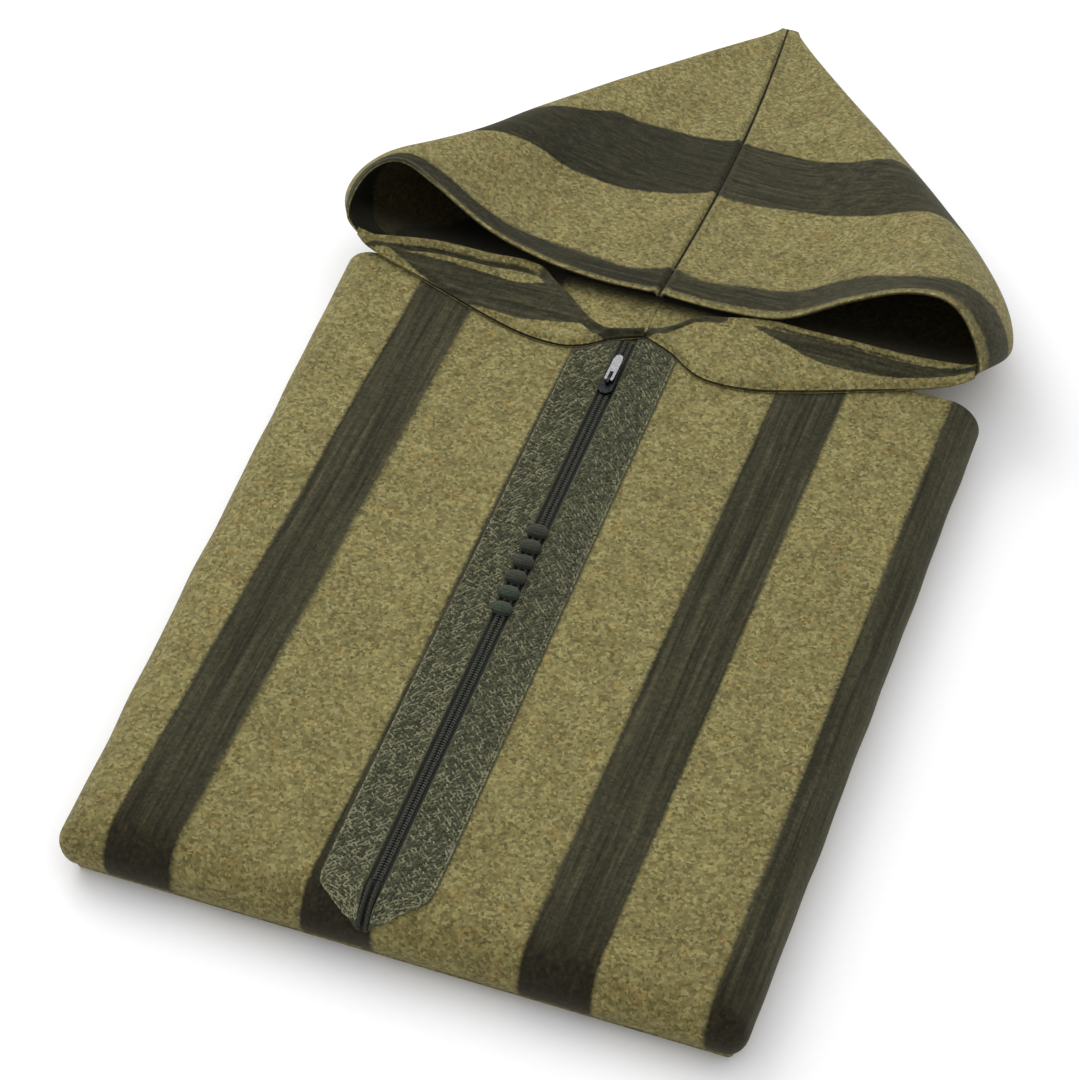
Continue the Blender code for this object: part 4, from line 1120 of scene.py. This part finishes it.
def on_band(sign, outer, corner_arc, run, across, lift):
    """Point on the band: run along it, across from 0 inner to 1 outer edge."""
    inner_arc, outer_arc, inner_side, outer_side = band_edges(sign, outer, corner_arc, run)
    arc = mix(inner_arc, outer_arc, across)
    side = sign * mix(inner_side, outer_side, across)
    top = zip_x(ZIP_END) + sign * np.array([BAND_INNER, outer])
    low, high = neck_seam_y(top)
    arc = arc + (neck_seam_y(zip_x(ZIP_END) + side) - low - (high - low) * across) * np.clip(run, 0, 1)
    crown = BAND_THICKNESS * (0.62 + 0.20 * np.sin(math.pi * across))
    return over_front(arc, side, GAP + crown + lift)


def stitches(spot, random, low, high, lanes, pitch, length, turns, tones, radius):
    """Short bits of thread in lanes across the band, their ends sunk into its ground."""
    sign, outer, corner_arc = spot
    rows = int(BAND_LENGTH / pitch)
    row, lane = np.meshgrid(np.arange(rows), np.arange(lanes), indexing="ij")
    row = row.ravel()
    lane = lane.ravel()
    loose = min(0.35, 0.12 * lanes)
    run = 0.012 + 0.984 * (row + 0.5 + random.uniform(-loose, loose, len(row))) / rows
    across = low + (high - low) * (lane + 0.5 + random.uniform(-loose, loose, len(row))) / lanes
    turn = np.where((row + lane) % 2, 1, -1) * random.uniform(*turns, len(row))
    reach = 0.5 * length * random.uniform(0.8, 1.2, len(row))
    step = np.array([-1.0, -0.4, 0.4, 1.0])
    run = run[:, None] + step * (reach * np.cos(turn) / BAND_LENGTH)[:, None]
    across = across[:, None] + step * (reach * np.sin(turn) / (outer - BAND_INNER))[:, None]
    lift = radius * (1.35 * np.cos(0.5 * math.pi * step) - 0.55)
    path = on_band(sign, outer, corner_arc, np.clip(run, 0.006, 0.999), np.clip(across, 0.015, 0.985), lift)
    points, faces, uv = tube(path, radius, THREAD_SIDES)
    nearness = 1 + 0.30 * (1 - smooth_step(0.10, 0.60, run.mean(1)))
    tone = random.uniform(*tones, len(row)) ** 1.5 * nearness
    uv[:, 0] = np.repeat(tone, len(step) * THREAD_SIDES)
    return points, faces, uv


# Chain rows along the band: from and to across it, lanes, pitch, length, turns, tones, radius.
# The last is on the right band only.
CHAIN_ROWS = (
    (0.010, 0.060, 1, 0.0029, 0.0024, (0.05, 0.30), (0.25, 0.65), 0.00045),
    (0.110, 0.170, 1, 0.0031, 0.0025, (0.05, 0.30), (0.35, 0.75), 0.00045),
    (0.935, 0.985, 1, 0.0030, 0.0025, (0.05, 0.35), (0.45, 1.0), 0.00052),
    (0.87, 0.92, 1, 0.0031, 0.0025, (0.05, 0.30), (0.45, 0.9), 0.00045),
)


def band(name, sign, outer, corner_arc, seed, tone):
    """Braid along one side of the zip: its ground and the threads on it."""
    runs = np.concatenate([np.linspace(0, BAND_POINT, 24), np.linspace(BAND_POINT, 1, 190)[1:]])
    across, run = np.meshgrid(np.linspace(0, 1, BAND_COLUMNS), runs)
    grid = on_band(sign, outer, corner_arc, run, across, 0.0)
    uv = np.stack([across * outer, run * 0.5], -1)
    ground = cloth(name, sign, grid, BAND_GROUND, uv, braid_ground, "braid")
    random = np.random.default_rng(seed)
    spot = (sign, outer, corner_arc)
    net = (0.04, 0.96, STITCH_LANES, STITCH_PITCH, STITCH_LENGTH, STITCH_TURNS, tone, STITCH_RADIUS)
    rows = (net, *(CHAIN_ROWS if sign > 0 else CHAIN_ROWS[:3]))
    parts = [stitches(spot, random, *row) for row in rows]
    lattice = new_piece(f"robe_{name}_threads", *join_parts(parts), braid_thread, "braid")
    return ground, lattice


band_left, threads_left = band("placket_band_left", -1, BAND_LEFT_OUTER, LEFT_CORNER_ARC, 3, (0.10, 0.95))
band_right, threads_right = band("placket_band_right", 1, BAND_RIGHT_OUTER, RIGHT_CORNER_ARC, 4, (0.05, 0.85))


# Zip


def zip_half(name, sign):
    """One tape of the zip and the coil on it."""
    base = HEIGHT - CLOTH + TAPE_LIFT
    distance = np.linspace(ZIP_START, ZIP_END, 160)
    across = np.array([GAP / 2, 0.0012, 0.0026, 0.0036, TAPE_HALF])
    side, along = np.meshgrid(across, distance)
    lift = np.full(side.shape, base + TAPE_THICKNESS)
    lift += TAPE_EDGE_RISE * smooth_step(0.0032, TAPE_HALF, side)
    grid = np.stack([zip_x(along) + sign * side, along + FRONT_EDGE_Y, lift], -1)
    cloth(name, sign, grid, TAPE_CLOTH, grid[..., :2], zip_tape, "zip_cloth")
    turns = (ZIP_END - ZIP_START) / COIL_PITCH
    t = np.linspace(0, 1, int(turns * COIL_STEPS))
    turn = math.tau * turns * t
    along = ZIP_START + 0.001 + (ZIP_END - ZIP_START - 0.002) * t
    radius_x = COIL_RADIUS - COIL_WIRE
    radius_z = COIL_RISE / 2 - COIL_WIRE
    side = COIL_SIDE + radius_x * np.cos(turn)
    rise = base + TAPE_THICKNESS + COIL_RISE / 2 + radius_z * np.sin(turn)
    path = np.stack([zip_x(along) + sign * side, along + FRONT_EDGE_Y, rise], 1)
    coil = tube(path, COIL_WIRE, COIL_SIDES, up=(0.0, 1.0, 0.0))
    new_piece(f"robe_{name}_coil", *coil, zip_coil, "zip_cloth")


zip_half("zip_left", -1)
zip_half("zip_right", 1)


def placket_cord(name, sign):
    """Two twisted yarns from the end of the zip over the fold to the placket's point."""
    start = ZIP_START - FOLD_RADIUS - 0.0012
    arc = np.linspace(start, TIP_ARC, 150)
    yarns = []
    for shift in (0.0, math.pi):
        turn = math.tau * arc / CORD_TWIST + shift
        side = sign * CORD_OFFSET + 0.46 * CORD_RADIUS * np.cos(turn)
        lift = GAP + CORD_RADIUS * (0.95 + 0.46 * np.sin(turn))
        yarns.append(tube(over_front(arc, side, lift), YARN_RADIUS, CORD_SIDES))
    new_piece(f"robe_{name}", *join_parts(yarns), cord_yarn, "zip_cloth", (name,))


placket_cord("placket_cord_left", -1)
placket_cord("placket_cord_right", 1)


def knot(number):
    """Bun-shaped knot: strands laid side by side over a core, meeting at its two ends."""
    distance = KNOT_FIRST_Y - KNOT_PITCH * (number - 1)
    base = HEIGHT - CLOTH + TAPE_LIFT + TAPE_THICKNESS + COIL_RISE + GAP
    centre = np.array([float(zip_x(distance)) + KNOT_SIDE, distance + FRONT_EDGE_Y, base + 0.0020])
    size = np.array([KNOT_WIDTH, KNOT_LENGTH, KNOT_RISE]) - KNOT_STRAND
    turn = np.linspace(0.06, 0.94, 22) * math.pi
    parts = []
    for lay in np.linspace(-1.05, 1.05, KNOT_STRANDS):
        path = np.stack([-np.cos(turn), np.sin(turn) * math.sin(lay), np.sin(turn) * math.cos(lay)], 1)
        radius = KNOT_STRAND * (0.55 + 0.45 * np.sin(turn))
        parts.append(tube(centre + path * size, radius, KNOT_STRAND_SIDES))
    lon = math.tau * np.arange(KNOT_CORE_SIDES) / KNOT_CORE_SIDES
    lon, lat = np.meshgrid(lon, np.linspace(-1.2, 1.5, KNOT_CORE_RINGS))
    core = np.stack([np.cos(lat) * np.cos(lon), np.cos(lat) * np.sin(lon), np.sin(lat)], -1).reshape(-1, 3)
    core = centre + core * (size + KNOT_STRAND * 0.62)
    core[:, 2] = np.maximum(core[:, 2], base)
    parts.append((core, tube_faces(KNOT_CORE_RINGS, KNOT_CORE_SIDES), core[:, :2]))
    yarn = knot_yarn if number < FIRST_GREEN_KNOT else green_knot_yarn
    new_piece(f"robe_knot_{number}", *join_parts(parts), yarn, "knot_cord", (f"knot_{number}",))


for number in range(1, KNOT_COUNT + 1):
    knot(number)

for node, material in (("slider", dark_metal), ("pull_tab", bright_metal)):
    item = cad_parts[node]
    if not item.material_slots:
        item.data.materials.append(material)
    for place in item.material_slots:
        place.material = material


# Floor, camera and light


FLOOR_HALF = 12.0


def floor():
    values = {"Roughness": 0.85, "Specular IOR Level": 0.1}
    material, tree, shader, place = new_material("floor_paper", values)
    tones = ((0.3, (0.925, 0.924, 0.922)), (0.7, (0.938, 0.937, 0.935)))
    paper = ramp(tree, noise(tree, place, 300.0, 3.0), tones)
    tree.links.new(paper, shader.inputs["Base Color"])
    mesh = bpy.data.meshes.new("floor")
    corners = [(x * FLOOR_HALF, y * FLOOR_HALF, 0) for x, y in ((-1, -1), (1, -1), (1, 1), (-1, 1))]
    mesh.from_pydata(corners, [], [(0, 1, 2, 3)])
    mesh.materials.append(material)
    item = add_object("floor", mesh)


floor()

CAMERA_AT = Vector((0.46804, -1.30355, 1.54394))
CAMERA_ALONG = Vector((-0.23524, 0.65018, -0.72244))
CAMERA_LENS = 116.62
camera_data = bpy.data.cameras.new("camera")
camera_data.sensor_fit = "HORIZONTAL"
camera_data.sensor_width = 36.0
camera_data.lens = CAMERA_LENS
camera_data.clip_start = 0.05
camera_data.clip_end = 50.0
camera = add_object("camera", camera_data)
right = CAMERA_ALONG.cross(Vector((0, 0, 1))).normalized()
up = right.cross(CAMERA_ALONG).normalized()
turned = Matrix((right, up, -CAMERA_ALONG.normalized())).transposed()
camera.matrix_world = Matrix.Translation(CAMERA_AT) @ turned.to_4x4()
bpy.context.scene.camera = camera


def area_light(name, place, target, size, power):
    data = bpy.data.lights.new(name, "AREA")
    data.shape = "SQUARE"
    data.size = size
    data.energy = power
    item = add_object(name, data)
    item.location = place
    item.rotation_euler = (Vector(target) - Vector(place)).to_track_quat("-Z", "Y").to_euler()


area_light("key", (-1.6, 1.1, 2.0), (0.0, 0.1, 0.0), 2.0, 31.0)
area_light("fill", (1.2, -1.6, 2.6), (0.0, 0.0, 0.0), 2.5, 5.0)
world = bpy.data.worlds.new("studio")
world.use_nodes = True
sky = world.node_tree
background = sky.nodes["Background"]
background.inputs["Color"].default_value = (0.98, 0.98, 1.0, 1.0)
direction = add_node(sky, "ShaderNodeTexCoord").outputs["Generated"]
glow = spread(sky, axis(sky, direction, "Z"), 0.0, 1.0, 0.20, 1.32)
sky.links.new(glow, background.inputs["Strength"])
bpy.context.scene.world = world
bpy.context.scene.view_settings.view_transform = "Standard"
